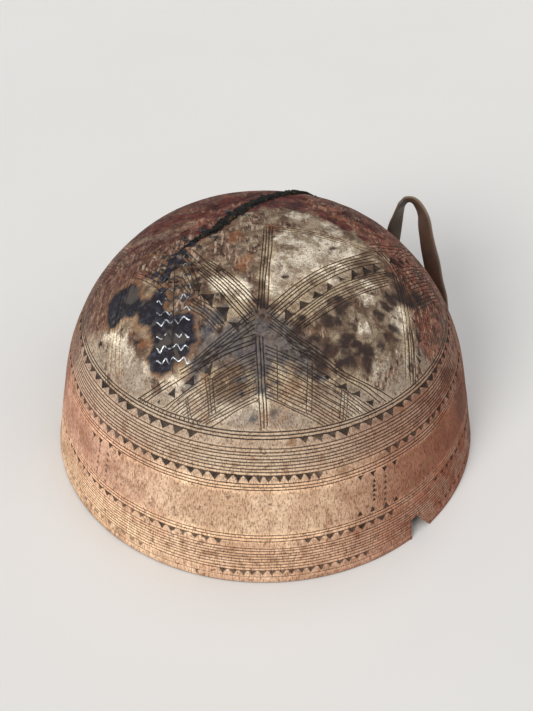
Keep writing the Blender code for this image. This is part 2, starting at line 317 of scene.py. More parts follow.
class StrapHole:
    """The hole that one end of the strap goes through, clockwise."""

    broken = None
    steps = 28

    def __init__(self, side):
        self.side = side
        self.round = np.full(self.steps, 0.5 * mm)

    def at(self, inset):
        angle = -math.tau * np.arange(self.steps) / self.steps
        radius = strap_width * strap_neck_share / 2 + clearance + inset
        along = self.side * strap_hole_spacing / 2 + radius * np.cos(angle)
        height = strap_hole_height + radius * np.sin(angle)
        inner_height = height / to_inside[2]
        outer_turn = strap_azimuth + np.arcsin(along / radius_at(height))
        inner_turn = strap_azimuth + np.arcsin(along / (radius_at(inner_height) * to_inside[0]))
        return map_of_height(outer_turn, height), map_of_height(inner_turn, inner_height)


crack_map = map_of_plan(evenly(smooth_way(crack_way_shares, 12) * rim_radius, 1.1 * mm))


def crack_half_width(share):
    level = np.interp(share, (*crack_opening_shares, 1.0), (0, 1, 1, 0))
    return (crack_fine_width + (crack_wide_width - crack_fine_width) * level) / 2


class CrackEdge:
    """The ragged slot of the crack, clockwise."""

    broken = True

    def __init__(self):
        share = np.linspace(0, 1, len(crack_map))
        left = left_of(unit(np.gradient(crack_map, axis=0)))
        ragged = 1 + 0.16 * np.random.default_rng(11).normal(size=(2, len(share))).clip(-1.6, 1.6)
        reach = left * (crack_half_width(share) * ragged / map_degree)[..., None]
        self.way = np.vstack([crack_map + reach[0], (crack_map - reach[1])[::-1]])
        self.left = left_of(unit(ahead_round(self.way)))
        self.round = np.full(len(self.way), 0.15 * mm)

    def at(self, inset):
        moved = self.way + self.left * (inset / map_degree)[:, None]
        return moved, moved


def inside_polygon(places, polygon):
    """Which places lie inside a closed polygon."""
    inside = np.zeros(len(places), bool)
    near = in_box(places, polygon.min(0), polygon.max(0))
    x, y = places[near].T
    hits = np.zeros(len(near), bool)
    for (x0, y0), (x1, y1) in zip(polygon, np.roll(polygon, -1, 0)):
        if y0 != y1:
            crosses = (y0 > y) != (y1 > y)
            hits ^= crosses & (x < (x1 - x0) * (y - y0) / (y1 - y0) + x0)
    inside[near] = hits
    return inside


def distance_to_way(places, way):
    """The least distance from each place to a way of straight steps."""
    least = np.full(len(places), 1e9)
    for start, end in zip(way, way[1:]):
        step = end - start
        share = np.clip(((places - start) @ step) / max(step @ step, 1e-12), 0, 1)
        least = np.minimum(least, np.linalg.norm(places - start - share[:, None] * step, axis=1))
    return least


def triangulated(loops, ways, points):
    """Triangles on the map between the loops, with the ways as edges and the points as corners."""
    edges = []
    count = 0
    for way in loops:
        edges += [(count + i, count + (i + 1) % len(way)) for i in range(len(way))]
        count += len(way)
    in_loops = count
    for way in ways:
        edges += [(count + i, count + i + 1) for i in range(len(way) - 1)]
        count += len(way)
    flat = np.vstack([*loops, *ways, points])
    made = delaunay_2d_cdt([Vector(p) for p in flat.tolist()], edges, [], 0, 1e-5)
    corners = np.array([tuple(p) for p in made[0]])
    faces = np.array(made[2])
    index_of = np.full(in_loops, -1)
    for index, origins in enumerate(made[3]):
        for origin in origins:
            if origin < in_loops:
                index_of[origin] = index
    middles = corners[faces].mean(1)
    kept = np.ones(len(faces), bool)
    outermost = np.hypot(middles[:, 0], middles[:, 1]) > near_rim
    kept[outermost] = inside_polygon(middles[outermost], loops[0])
    for hole in loops[1:]:
        kept &= ~inside_polygon(middles, hole)
    starts = np.cumsum([0] + [len(way) for way in loops])
    loop_indices = [index_of[a:b] for a, b in zip(starts, starts[1:])]
    return corners, faces[kept], loop_indices


# Carving. A groove is a way on the map with a half width in degrees and a depth. Its tone is how
# much soot and grease fills it.
groove_half_width = 0.44 * mm / map_degree
groove_depth = 0.42 * mm
chip_depth = 0.75 * mm
chip_slope = 0.22
chip_floor_share = 0.72
ridge_reach = 0.75
groove_margin = 0.35
chip_margin = 0.5


class Carving:
    """Every groove and chip on the outer side."""

    def __init__(self, blocked):
        self.blocked = blocked
        self.rings = []
        self.lines = []
        self.chips = []
        self.count = 0

    def free(self, places, margin):
        """Which places are clear of the crack, the holes and the notch."""
        clear = np.ones(len(places), bool)
        for way, reach in self.blocked:
            near = in_box(places, way.min(0) - 4, way.max(0) + 4)
            if len(near):
                gaps = np.linalg.norm(places[near, None] - way[None], axis=2).min(1)
                clear[near] &= gaps > reach + margin
        return clear

    def clear_runs(self, places):
        """The places in their order, as runs of indices that nothing interrupts."""
        clear = self.free(places, groove_margin)
        runs = np.split(np.arange(len(places)), np.flatnonzero(~clear))
        return [run[clear[run]] for run in runs]

    def ring(self, polar, dark=1.0, width=1.0, start=-180.0, end=180.0, tilt=0.0):
        """A turned line at an angle from the crown, over a range of azimuths in degrees."""
        self.count += 1
        self.rings.append(dict(polar=polar, dark=dark, half=groove_half_width * width, start=start,
                               end=end, seed=self.count, tilt=tilt))

    def line(self, stations, dark=1.0, width=1.0, sway=0.10):
        self.count += 1
        stations = np.array(stations, float)
        smooth = stations if len(stations) < 3 else smooth_way(stations, 8)
        way = evenly(smooth, 1.05)
        if len(way) < 3:
            way = evenly(way, 0.3)
        stir = [ripple(way, 9.0, self.count), ripple(way, 9.0, self.count + 999)]
        way = way + sway * np.column_stack(stir)
        for run in self.clear_runs(way):
            if len(run) > 2:
                self.lines.append(dict(way=way[run], dark=dark, half=groove_half_width * width))

    def lines_between(self, first, last, count, dark=1.0, width=1.0, sway=0.10):
        """A family of lines from the first to the last."""
        first, last = np.array(first, float), np.array(last, float)
        for index in range(count):
            self.line(first + (last - first) * (index / max(1, count - 1)), dark, width, sway)

    def chip(self, a, b, c, dark=1.0, hollow=0.16):
        """A three-cornered chip with hollow sides."""
        corners = np.array([a, b, c], float)
        if not self.free(corners, chip_margin).all():
            return
        if np.cross(corners[1] - corners[0], corners[2] - corners[0]) < 0:
            corners = corners[::-1]
        middle = corners.mean(0)
        way = []
        for start, end in zip(corners, np.roll(corners, -1, 0)):
            way += [start, (start + end) / 2 + (middle - (start + end) / 2) * hollow]
        self.chips.append(dict(way=np.array(way), dark=dark))

    def chip_row(self, polar, tip, azimuths, width, lean=0.0, dark=1.0, seed=1):
        """Chips hung on a ring: base on the ring at polar, point out at tip, at the azimuths."""
        chance = np.random.default_rng(seed)
        for azimuth in azimuths:
            jitter = chance.normal(size=4).clip(-1.5, 1.5)
            half = width / 2 * (1 + 0.08 * jitter[0])
            base = polar + 0.10 * jitter[1]
            corners = (
                polar_place(base, azimuth - half),
                polar_place(tip + 0.14 * jitter[2], azimuth + lean + 0.10 * width * jitter[3]),
                polar_place(base, azimuth + half),
            )
            shade = dark * (0.93 + 0.07 * jitter[1])
            self.chip(*corners, dark=float(np.clip(shade, 0.1, 1.0)), hollow=0.03)

    def ring_polar(self, ring, azimuth):
        """The ring's angle from the crown at azimuths in degrees."""
        turn = np.radians(azimuth)
        out = np.column_stack([np.cos(turn), np.sin(turn)])
        wander = 0.09 * ripple(out, 1.3, 5) + 0.045 * ripple(out, 0.35, ring["seed"])
        return ring["polar"] + wander - ring["tilt"] * np.cos(turn)

    def ways(self):
        """Edges for the triangles: the middle and both sides of each groove, and each chip's outline."""
        made = []
        for ring in self.rings:
            steps = max(4, round((ring["end"] - ring["start"]) * ring["polar"] / 57.3 / 1.35))
            azimuth = np.linspace(ring["start"], ring["end"], steps + 1)
            polar = self.ring_polar(ring, azimuth)
            turn = np.radians(azimuth)
            for run in self.clear_runs(map_place(polar, turn)):
                if len(run) > 1:
                    made += [map_place((polar + offset)[run], turn[run])
                             for offset in (-ring["half"], 0.0, ring["half"])]
        for line in self.lines:
            way = line["way"]
            left = left_of(unit(np.gradient(way, axis=0)))
            made += [way + left * offset for offset in (-line["half"], 0.0, line["half"])]
        for chip in self.chips:
            way = chip["way"]
            middle = way.mean(0)
            made += [closed(way), closed(middle + (way - middle) * chip_floor_share)]
        return made

    def sink(self, places):
        """At places on the map: the carving's depth, its share of the full depth, how near a line is,
        and the tone of the filling."""
        depth, cut, ridge, tone = np.zeros((4, len(places)))

        def sunk(near, share, full, shade):
            reached = near[share > -0.1]
            tone[reached] = np.maximum(tone[reached], shade)
            share = np.clip(share, 0, 1)
            depth[near] = np.maximum(depth[near], share * full)
            cut[near] = np.maximum(cut[near], share)

        def grooved(near, gap, groove):
            half = groove["half"]
            sunk(near, 1 - gap / half, groove_depth, groove["dark"])
            ridge[near] = np.maximum(ridge[near], smoothstep(half + ridge_reach, half, gap))

        polar = np.hypot(places[:, 0], places[:, 1])
        azimuth = np.degrees(np.arctan2(places[:, 1], places[:, 0]))
        for ring in self.rings:
            near = np.flatnonzero(abs(polar - ring["polar"]) < 1.2)
            near = near[(azimuth[near] >= ring["start"]) & (azimuth[near] <= ring["end"])]
            grooved(near, abs(polar[near] - self.ring_polar(ring, azimuth[near])), ring)
        for line in self.lines:
            way = line["way"]
            near = in_box(places, way.min(0) - 1.2, way.max(0) + 1.2)
            grooved(near, distance_to_way(places[near], way), line)
        for chip in self.chips:
            way = chip["way"]
            near = in_box(places, way.min(0), way.max(0))
            near = near[inside_polygon(places[near], way)]
            share = distance_to_way(places[near], closed(way)) / chip_slope
            sunk(near, np.clip(share, 0, 1), chip_depth, chip["dark"])
        return depth, cut, ridge, tone


def polar_place(polar, azimuth):
    """The place on the map at an angle from the crown and an azimuth, both in degrees."""
    turn = math.radians(azimuth)
    return polar * math.cos(turn), polar * math.sin(turn)


def turned(stations, degrees):
    """Stations turned round the crown."""
    cos, sin = math.cos(math.radians(degrees)), math.sin(math.radians(degrees))
    x, y = np.array(stations, float).T
    return np.column_stack([x * cos - y * sin, x * sin + y * cos])


def carve_rings(carving):
    """The turned lines round the bowl, from the dome's edge down to the rim."""
    for polars, look in (
        ((50.4, 51.1, 51.9), dict(dark=0.95, width=1.05)),
        ((49.6,), dict(dark=0.9, start=-128, end=-108)),
        ((54.0, 54.8, 55.5, 56.3, 57.0, 57.7, 58.5, 59.2, 60.0), dict(dark=0.85)),
        ((62.0, 62.8, 63.5), dict(dark=0.85, tilt=0.25)),
        ((75.8, 76.6, 77.5), dict(dark=0.88, width=0.9, tilt=0.25)),
        ((79.6, 80.4, 81.2, 82.0, 82.8, 83.6, 84.4, 85.3, 86.1), dict(dark=0.82, width=0.9)),
        ((88.0,), dict(dark=0.6, width=0.8)),
    ):
        for polar in polars:
            carving.ring(polar, **look)
    for azimuth in np.arange(-127.5, -108.5, 1.35):
        ends = [polar_place(polar, azimuth) for polar in (49.65, 50.35)]
        carving.line(ends, dark=0.9, width=0.9, sway=0.0)


def carve_chip_rows(carving):
    """Rows of chips hung on the rings. Azimuths are degrees on the map, right is 0 and the front -90."""
    rows = (
        (51.9, 53.8, -207, -106, 4.05, 3.9, -0.9, 1.0),
        (51.9, 53.7, -80, 0, 3.75, 3.5, 0.8, 0.95),
        (51.9, 53.7, 10, 146, 4.0, 3.8, 0.0, 0.8),
        (60.0, 61.8, -205, -102, 3.3, 3.0, 0.0, 0.95),
        (60.0, 61.9, -99.2, -76, 2.5, 2.45, 0.0, 1.0),
        (60.0, 61.7, -57, 6, 3.1, 2.9, 0.0, 0.9),
        (60.0, 61.7, 12, 152, 3.3, 3.0, 0.0, 0.8),
        (77.5, 79.2, -200, -100, 2.9, 2.5, 0.0, 0.9),
        (77.5, 79.2, -80, -56, 2.75, 2.5, 0.0, 0.95),
        (77.5, 79.2, -41, 150, 2.9, 2.5, 0.0, 0.8),
        (86.2, 87.7, -100, -64, 2.3, 2.1, 0.0, 0.85),
        (86.2, 87.7, -210, -120, 2.6, 2.0, 0.0, 0.5),
        (86.2, 87.7, -40, 140, 2.6, 2.0, 0.0, 0.5),
    )
    for seed, (base, tip, first, last, spacing, width, lean, dark) in enumerate(rows, start=21):
        carving.chip_row(base, tip, np.arange(first, last, spacing), width, lean, dark, seed)


def stamp(carving, x, y, half, tall, outward=False, dark=0.95):
    """A chip stamped by itself, its point toward the crown, or outward toward the rim."""
    middle = np.array((x, y))
    away = middle / np.linalg.norm(middle)
    aside = half * np.array((-away[1], away[0]))
    tip = tall / 2 * (away if outward else -away)
    carving.chip(middle - tip - aside, middle - tip + aside, middle + tip, dark=dark, hollow=0.03)


def carve_columns(carving):
    """Columns of small stamped chips on the plain band, with single ones round them."""
    columns = (
        ((31.0, -58.8), (33.0, -63.6), 5, 0.95),
        ((34.5, -57.0), (37.2, -62.8), 5, 0.8),
        ((-46.6, -47.9), (-52.6, -53.4), 6, 0.7),
        ((-49.0, -44.5), (-56.2, -49.8), 6, 0.7),
    )
    for start, end, count, dark in columns:
        for share in np.linspace(0, 1, count):
            x, y = np.array(start) + (np.array(end) - start) * share
            stamp(carving, x, y, 0.70, 1.15, dark=dark)
    pointing_out = (
        (30.1, -57.3), (33.6, -55.5), (36.6, -53.4), (26.4, -59.0), (-44.7, -46.4),
        (-41.9, -49.3), (-48.5, -43.7), (-51.0, -41.2), (-41.7, -21.5),
    )
    for x, y in pointing_out:
        stamp(carving, x, y, 1.1, 1.6, outward=True)
    for x, y in ((33.5, -66.2), (38.2, -64.2), (29.4, -68.1), (41.5, -61.9)):
        stamp(carving, x, y, 1.15, 1.7)


def carve_star(carving):
    """The star over the crown as the front shows it: families of lines, first and last of each."""
    families = (
        (((-1.4, -25.0), (-1.0, -16), (-0.5, -8), (-0.1, 1.0)),
         ((0.6, -24.5), (0.9, -16), (1.5, -8), (2.0, 1.0)), 4, 0.9),
        (((-1.9, -31), (-1.1, -49.6)), ((-0.5, -31), (0.45, -49.1)), 3, 0.95),
        (((1.5, 1.0), (12, -0.1), (26, -2.9)), ((1.5, -0.4), (12, -1.5), (26, -4.3)), 3, 0.75),
        (((0.3, -25.0), (8, -17), (16, -10), (23.5, -4.0)),
         ((2.0, -27.4), (9.8, -19.3), (18, -12.4), (26, -6.8)), 5, 0.95),
        (((4, -28.2), (14.5, -18.4), (27.6, -8.8)), ((8, -29), (17, -21.5), (28, -13)), 7, 0.85),
        (((-12.2, -10), (-8, -14.5), (-4.1, -19.4), (-1.4, -23.0)),
         ((-15, -13), (-10.3, -19), (-8, -22.7), (-3.8, -28.3)), 8, 0.95),
        (((-16.4, -5.0), (-12.6, -11.2)), ((-19.0, -7.0), (-15.2, -14.0)), 4, 0.7),
        (((-14.7, -20.7), (-11.2, -23.75), (-8.1, -27.5)),
         ((-16.6, -22.6), (-13.1, -25.6), (-10.0, -29.4)), 5, 0.8),
        (((-29.6, -9.5), (-24.5, -14.5), (-20.0, -20.5)),
         ((-19.0, -5.5), (-16.4, -10.5), (-14.0, -17.5)), 10, 0.75),
        (((-31, -39.2), (-26, -38.2), (-19, -36), (-2, -30.5)),
         ((-29, -40.7), (-22, -38.8), (-16.5, -37), (-2, -32.3)), 3, 0.95),
        (((-24, -42.9), (-2, -34)), ((-13, -48.6), (-2, -44)), 15, 0.85, 0.9, 0.16),
        (((-15.5, -34.5), (-8.5, -30.0), (-2.4, -25.4)),
         ((-15.0, -37.0), (-8.0, -33.0), (-2.0, -29.4)), 5, 0.85),
        (((1.2, -26.2), (6, -30.0), (12.5, -33.8)), ((0.9, -29.0), (6, -32.6), (11.5, -36.2)), 5, 0.85),
        (((6, -31.8), (12, -34), (17, -36.6), (24, -38.2), (31.3, -39.5)),
         ((6, -33.4), (12, -35.6), (17, -37.8), (23, -39.5), (27.6, -41.3)), 3, 0.9),
        (((0.3, -33), (26, -43.2)), ((0.3, -43.5), (13.5, -48.5)), 15, 0.85, 0.9, 0.16),
    )
    for family in families:
        carving.lines_between(*family)
    uprights = (
        (-18.3, -42.0, -46.5), (-17.7, -42.0, -46.5), (-13.2, -39, -46), (-12.4, -39, -46),
        (-11.6, -39, -46), (2.5, -33, -44), (9.2, -36, -46), (10.3, -36, -46),
        (17.3, -40.5, -46.5), (18.1, -40.5, -46.5), (18.9, -40.5, -46.5),
    )
    for x, top, foot in uprights:
        carving.line(((x, top), (x + 0.2, foot)), dark=0.85, width=0.85)
    for stations in (
        ((33.1, -22), (34.7, -30), (36.1, -34.5)),
        ((34.1, -22), (35.5, -29), (36.9, -34)),
        ((35.0, -22), (36.3, -28), (37.7, -33.4)),
    ):
        carving.line(stations, dark=0.9)
        carving.line([(-x - 3.5, y + 1.5) for x, y in stations], dark=0.4, width=0.8)


def carve_star_chips(carving):
    chips = (
        ((4.1, -24.6), (7, -25.8), (4, -27.6)), ((7.2, -22.4), (9.8, -22.9), (7.3, -25)),
        ((10.5, -19.5), (13, -20.5), (10, -22)), ((13.5, -16.7), (15, -17.5), (13.2, -20)),
        ((16.1, -14.3), (17.9, -15), (16.4, -16)), ((19.2, -11.3), (21.1, -12.4), (18.8, -15.6)),
        ((21.7, -9.4), (24.5, -10.5), (22, -13)), ((24.5, -7.3), (26.6, -8.4), (24.3, -11.6)),
        ((-16.3, -15.8), (-13.4, -16.6), (-14.0, -20.0)), ((-14.1, -19.7), (-10.6, -20.2), (-11.0, -23.9)),
        ((-10.9, -23.5), (-7.4, -24.0), (-7.9, -27.6)), ((-8.2, -27.3), (-5.0, -27.9), (-5.4, -30.1)),
        ((-23, -40.3), (-20.3, -39), (-20.8, -41.7)), ((-18.5, -39), (-15.5, -37.2), (-15.8, -39.9)),
        ((-13.5, -37.5), (-11, -35), (-12, -38.5)), ((-25.9, -41.2), (-24.7, -40.8), (-25.2, -42.0)),
        ((12.7, -38.2), (14.3, -38), (14.2, -39.2)), ((15.2, -40.2), (18.7, -38.7), (18.8, -40.4)),
        ((19.3, -41), (22, -39.7), (22.3, -41.3)), ((23.4, -41.8), (25.9, -40.9), (26, -42.6)),
        ((33.8, -18), (36.3, -18.8), (35.9, -19.7)), ((35.7, -22), (38.6, -22.7), (37.5, -24.3)),
        ((36.2, -27), (38.9, -27.6), (38.5, -29)),
    )
    for corners in chips:
        carving.chip(*corners, dark=0.95)


def carve_hidden_stars(carving):
    """The same fans at the star's other three corners, which the front hardly shows."""
    fans = (
        (((-1.9, -31), (-1.1, -49.4)), ((-0.5, -31), (0.45, -49.1)), 3, 1.0, 1.0),
        (((-28, -39.0), (-18, -35.8), (-4, -30.5)), ((-26, -41.3), (-17, -38.0), (-4, -32.3)), 3, 1.0, 1.0),
        (((4, -30.5), (18, -35.8), (28, -39.0)), ((4, -32.3), (17, -38.0), (26, -41.3)), 3, 1.0, 1.0),
        (((-20, -44.2), (-2, -35)), ((-12, -48.4), (-2, -43)), 10, 0.8, 0.85),
        (((2, -35), (20, -44.2)), ((2, -43), (12, -48.4)), 10, 0.8, 0.85),
    )
    for turn, dark in ((81.0, 0.75), (180.0, 0.7), (-84.0, 0.6)):
        for first, last, count, share, width in fans:
            carving.lines_between(turned(first, turn), turned(last, turn), count, dark * share, width)
        for side in (-1, 1):
            for x, y in ((14, -38.6), (18, -40.2), (22, -41.6)):
                corners = ((side * x, y), (side * (x + 2.9), y - 1.0), (side * (x + 2.2), y - 2.6))
                carving.chip(*turned(corners, turn), dark=dark)
    for family in (
        (((29, 4.5), (16, 15), (3, 26)), ((26, 1.8), (14, 12), (0.5, 23)), 6, 0.55),
        (((-22, 4.5), (-12, 15), (-3, 26)), ((-19.5, 2.2), (-10, 12), (-0.5, 23)), 6, 0.5),
        (((25.6, -1.6), (29.5, -7.5), (32.6, -16.5)), ((28.2, -0.8), (32.0, -6.5), (35.0, -16.5)), 4, 0.95),
        (((25.4, -2.6), (31.5, 0.6), (37.5, 6.0)), ((24.6, -0.6), (30.5, 2.8), (36.0, 8.0)), 3, 0.85),
        (((32.4, -4.6), (40.0, 3.4)), ((37.0, -15.0), (46.0, -5.0)), 12, 0.85),
    ):
        carving.lines_between(*family)
    for x, y in ((27.2, 5.6), (23.4, 8.6), (19.4, 11.6), (15.2, 14.8), (10.8, 18.6), (6.6, 22.4)):
        carving.chip((x, y), (x - 2.4, y + 2.2), (x + 0.6, y + 2.4), dark=0.6)
    for x, y in ((29.5, -2.4), (32.2, -0.4), (32.6, -6.6), (35.4, -9.6), (34.6, 1.8)):
        carving.chip((x, y), (x + 2.0, y - 2.4), (x - 0.6, y - 2.6), dark=0.9)


def carve():
    """All the carving on the outer side."""
    notch = map_of_height(
        notch_azimuth + np.array(notch_edge_shares)[:, 0] * notch_width / rim_radius,
        np.array(notch_edge_shares)[:, 1] * notch_height,
    )
    carving = Carving([
        (crack_map, crack_wide_width / 2 / map_degree),
        (StrapHole(1).at(0.0)[0], 0.6),
        (StrapHole(-1).at(0.0)[0], 0.6),
        (evenly(closed(notch), 0.3), 0.45),
    ])
    for carve_some in (
        carve_rings, carve_chip_rows, carve_columns, carve_star, carve_star_chips, carve_hidden_stars,
    ):
        carve_some(carving)
    return carving


# Where the handled, sooted brown of the back begins, and the edges of the tar and of the smear
brown_edge = (
    (-90, -17), (-60, -17), (-47.0, -16.5), (-41.5, -19.0), (-37.0, -17.0), (-33.0, -14.0), (-30.0, -11.5),
    (-26.0, -10.5), (-22.5, -9.5), (-19.5, -9.0), (-17.0, -5.5), (-14.0, -1.5), (-10.0, 2.0), (-7.0, 4.5),
    (-4.5, 9.0), (-1.0, 11.0), (4.5, 9.5), (10.5, 9.0), (14.5, 8.0), (18.5, 5.5), (23.0, 1.5), (25.5, -1.5),
    (28.0, -6.0), (29.5, -11.0), (31.5, -14.5), (34.0, -17.0), (36.5, -20.5), (39.0, -25.0), (42.0, -29.0),
    (50.0, -28.0), (90, -30), (90, 90), (-90, 90),
)
tar_edge = (
    (-38.5, -12.5), (-36.5, -10.5), (-32.0, -10.4), (-29.5, -11.0), (-27.6, -13.5), (-28.0, -17.0),
    (-25.4, -17.6), (-24.0, -16.0), (-21.8, -16.4), (-21.2, -19.0), (-22.2, -22.0), (-19.6, -23.2),
    (-16.4, -24.0), (-15.2, -25.8), (-14.8, -29.0), (-16.0, -33.2), (-17.6, -34.2), (-20.6, -34.8),
    (-23.2, -35.8), (-26.0, -34.0), (-27.0, -31.4), (-25.0, -28.6), (-26.2, -25.2), (-29.2, -22.8),
    (-29.2, -20.6), (-31.6, -19.4), (-33.2, -19.2), (-35.4, -20.8), (-37.4, -20.2), (-38.6, -17.0),
)
smear_edge = (
    (-16.2, -33.6), (-12.4, -30.8), (-9.6, -29.6), (-6.6, -27.6), (-3.6, -26.0), (-1.8, -24.8),
    (-0.2, -23.6), (1.2, -24.6), (3.4, -26.6), (6.4, -28.6), (9.4, -30.4), (12.4, -32.4), (14.6, -34.4),
    (14.0, -36.6), (11.0, -38.2), (8.6, -39.2), (5.6, -37.0), (4.0, -37.6), (2.2, -36.4), (0.8, -39.6),
    (0.2, -43.0), (-1.8, -42.6), (-2.4, -39.0), (-4.2, -38.2), (-5.6, -37.2), (-7.4, -36.2), (-9.6, -36.4),
    (-12.4, -37.0), (-14.4, -38.8), (-16.2, -41.0), (-18.4, -40.6), (-18.0, -38.0),
)

# Stains, as round patches on the map: x, y and radius in degrees
tar_patches = (
    (-20.8, -8.2, 1.5), (-20.6, -11.0, 1.2), (-22.4, -13.2, 1.5), (-23.6, -9.0, 0.7), (-16.0, -2.2, 1.4),
    (-18.4, -5.6, 1.2), (-19.6, -14.6, 0.9), (-12.0, 0.2, 1.2), (-25.5, -3.6, 0.9), (-22.6, -6.0, 0.9),
    (-16.4, -3.6, 1.2), (-30.5, -18.0, 1.6), (-24.0, -19.5, 1.6), (-20.0, -5.6, 1.0), (-19.0, -9.0, 0.9),
    (-21.4, -12.2, 1.2), (-17.6, -7.0, 0.8), (-24.6, -12.0, 0.8), (-14.2, -1.4, 1.0),
)
skin_patches = (
    (-30.4, -14.4, 2.0), (-30.2, -12.6, 1.4), (-22.1, -28.9, 1.75), (-18.3, -29.3, 1.65),
    (-24.8, -24.3, 1.0), (-26.2, -24.8, 0.8), (-19.3, -32.4, 1.0), (-16.6, -32.0, 0.6), (-27.5, -17.6, 0.9),
    (15.6, -23.2, 1.2), (-36.6, -18.0, 0.7),
)
smear_patches = (
    (-12.5, -28.5, 2.6), (-14.0, -31.5, 2.2), (-10.0, -26.2, 1.6), (-15.8, -26.0, 1.6), (-13.0, -23.5, 1.2),
    (-8.6, -24.8, 1.0), (-16.8, -20.5, 1.2), (-5.3, -39.5, 1.2), (-5.4, -42.5, 0.8), (2.6, -40.0, 0.9),
    (13.2, -38.4, 0.8), (2.6, -46.3, 0.9), (-2.6, -47.8, 0.8), (6.0, -46.8, 0.7), (11.4, -37.0, 1.8),
)
spot_patches = (
    (16.4, -23.4, 2.7), (15.0, -21.6, 1.6), (12.7, -26.9, 2.3), (9.8, -31.6, 1.8), (14.2, -32.6, 2.6),
    (17.4, -30.0, 2.1), (18.6, -34.0, 2.6), (22.2, -31.1, 1.9), (20.0, -30.0, 1.0), (23.2, -33.6, 1.9),
    (20.9, -33.0, 1.2), (26.0, -29.0, 1.6), (28.5, -26.5, 1.7), (29.4, -23.9, 1.4), (25.0, -22.2, 1.8),
    (27.5, -19.0, 1.7), (28.7, -16.4, 1.8), (31.2, -13.4, 3.0), (34.2, -14.2, 2.6), (37.4, -11.4, 2.0),
    (29.0, -9.2, 1.4), (15.8, -26.4, 1.2), (19.0, -27.4, 0.9), (12.0, -35.6, 2.0), (16.2, -35.2, 1.3),
    (3.0, -12.9, 0.5), (16.0, -5.2, 0.8), (4.0, -16.4, 0.9), (6.3, -29.2, 1.2), (8.0, -27.0, 1.0),
    (-20.5, -8.0, 1.3), (-22.5, -12.0, 1.3), (-19.2, -10.8, 1.0), (-21.6, -5.6, 1.0), (-18.4, -6.4, 0.9),
    (-24.8, -9.5, 0.9), (-0.8, -22.4, 1.5), (0.8, -24.2, 1.3), (-1.6, -25.6, 1.1), (0.2, -27.2, 1.0),
    (-20.8, -7.4, 0.8), (-28.6, -65.4, 0.5), (-52.8, -58.3, 0.6), (-15.0, -16.0, 1.0), (-24.5, -85, 0.4),
    (-9.0, -28.6, 1.0), (-18.6, -40.2, 0.5), (-30.0, -27.0, 0.6),
)
brown_patches = (
    (-9.0, -3.0, 2.0), (-4.0, 1.0, 2.2), (-1.0, -4.0, 1.6), (-12.0, -6.0, 2.2), (-6.0, -15.0, 1.4),
    (-14.0, -17.5, 2.2), (-14.5, -22.0, 2.2), (-18.5, -22.5, 1.8), (-13.0, -24.5, 1.6), (-17.5, -18.0, 2.4),
    (-25.0, -10.5, 2.2), (-28.0, -6.5, 2.2), (-21.0, -6.0, 2.2), (-24.0, -3.5, 2.2), (-16.5, -13.0, 2.4),
    (-18.0, -9.5, 2.4), (-14.5, -9.0, 2.0), (-19.0, -3.0, 2.6), (-21.5, -9.5, 2.8), (-23.5, -13.5, 2.2),
    (-26.5, -7.5, 2.2), (-15.5, -5.5, 2.4), (-20.0, -16.0, 2.0), (-16.5, -0.5, 2.0), (-10.0, -21.0, 1.4),
    (1.0, 1.5, 1.4), (-3.0, -12.0, 1.6), (-10.5, -27.0, 2.0), (-3.5, 12.0, 2.4), (0.5, 13.4, 2.0),
    (2.5, 10.6, 2.0), (-13.0, -8.5, 2.4), (-8.5, -1.0, 2.4), (13.0, -37.0, 2.2), (10.4, -34.4, 2.2),
    (-5.0, -12.4, 2.6), (-7.5, -9.0, 3.2), (-10.5, -5.5, 3.2), (-6.0, -3.0, 2.8), (-2.5, -7.4, 1.8),
    (-3.4, -16.2, 1.4), (-9.0, -13.5, 1.6), (1.5, -1.0, 2.2), (4.5, 2.0, 2.6), (-2.0, 5.0, 3.0),
    (3.2, -13.0, 1.2), (-1.2, -12.0, 1.2), (2.8, -8.0, 0.9), (9.5, 4.5, 1.8), (24.5, -12.4, 1.0),
    (-30.6, -25.4, 1.9), (-28.6, -27.3, 1.6), (-25.4, -37.6, 2.1), (-33.0, -23.0, 1.2), (-41.0, -22.5, 1.4),
    (29.0, -34.4, 2.4), (31.8, -30.6, 2.0), (26.8, -37.4, 1.6), (22.8, -37.0, 1.4), (16.4, -36.6, 1.6),
    (24.0, -17.0, 1.4), (26.6, -15.4, 1.2), (20.5, -21.0, 1.4), (19.6, -25.8, 1.2), (30.0, -20.5, 0.9),
    (-13.5, -21.5, 1.8), (-17.0, -18.6, 2.4), (-13.4, -25.4, 1.8), (-17.4, -21.6, 1.8), (-11.8, -28.4, 1.6),
    (-24.6, -14.0, 1.2), (7.6, -31.6, 2.0), (10.6, -28.6, 1.8), (8.0, -28.0, 1.4), (12.6, -30.4, 1.6),
    (35.6, -30.5, 1.4), (38.0, -33.4, 1.4), (-2.0, -20.5, 0.7), (13, -2.0, 0.8), (-39.0, -32.0, 1.4),
    (-10, -54, 0.9), (-8, -57, 0.9), (14, -55.5, 1.2), (5, -58.5, 1.0), (-24.0, -53.0, 1.2),
    (31.0, -52.0, 1.3), (21.0, -58.0, 1.1), (-41.0, -51.0, 1.2), (-57.0, -24.0, 1.8), (-17.0, -81.0, 1.3),
    (3.0, -83.0, 1.5), (-5.6, -54.6, 1.0), (6.4, -52.2, 1.1), (-4.2, -58.4, 0.9), (41.0, -50.0, 1.1),
    (48.0, -38.0, 1.3), (-20.0, -57.6, 0.9), (26.0, -55.6, 0.8), (-31.0, -50.0, 0.8), (12.0, -82.0, 1.2),
    (-8.0, -84.6, 1.2), (22.0, -78.0, 1.1), (-34.0, -76.0, 1.0), (-16.6, -63.6, 0.6), (-23.6, -67.0, 0.9),
    (19.6, -70.0, 0.6), (52.0, -47.0, 1.2), (56.4, -36.0, 1.4), (46.0, -57.0, 1.3), (60.0, -28.0, 1.4),
    (38.0, -66.0, 1.0),
)
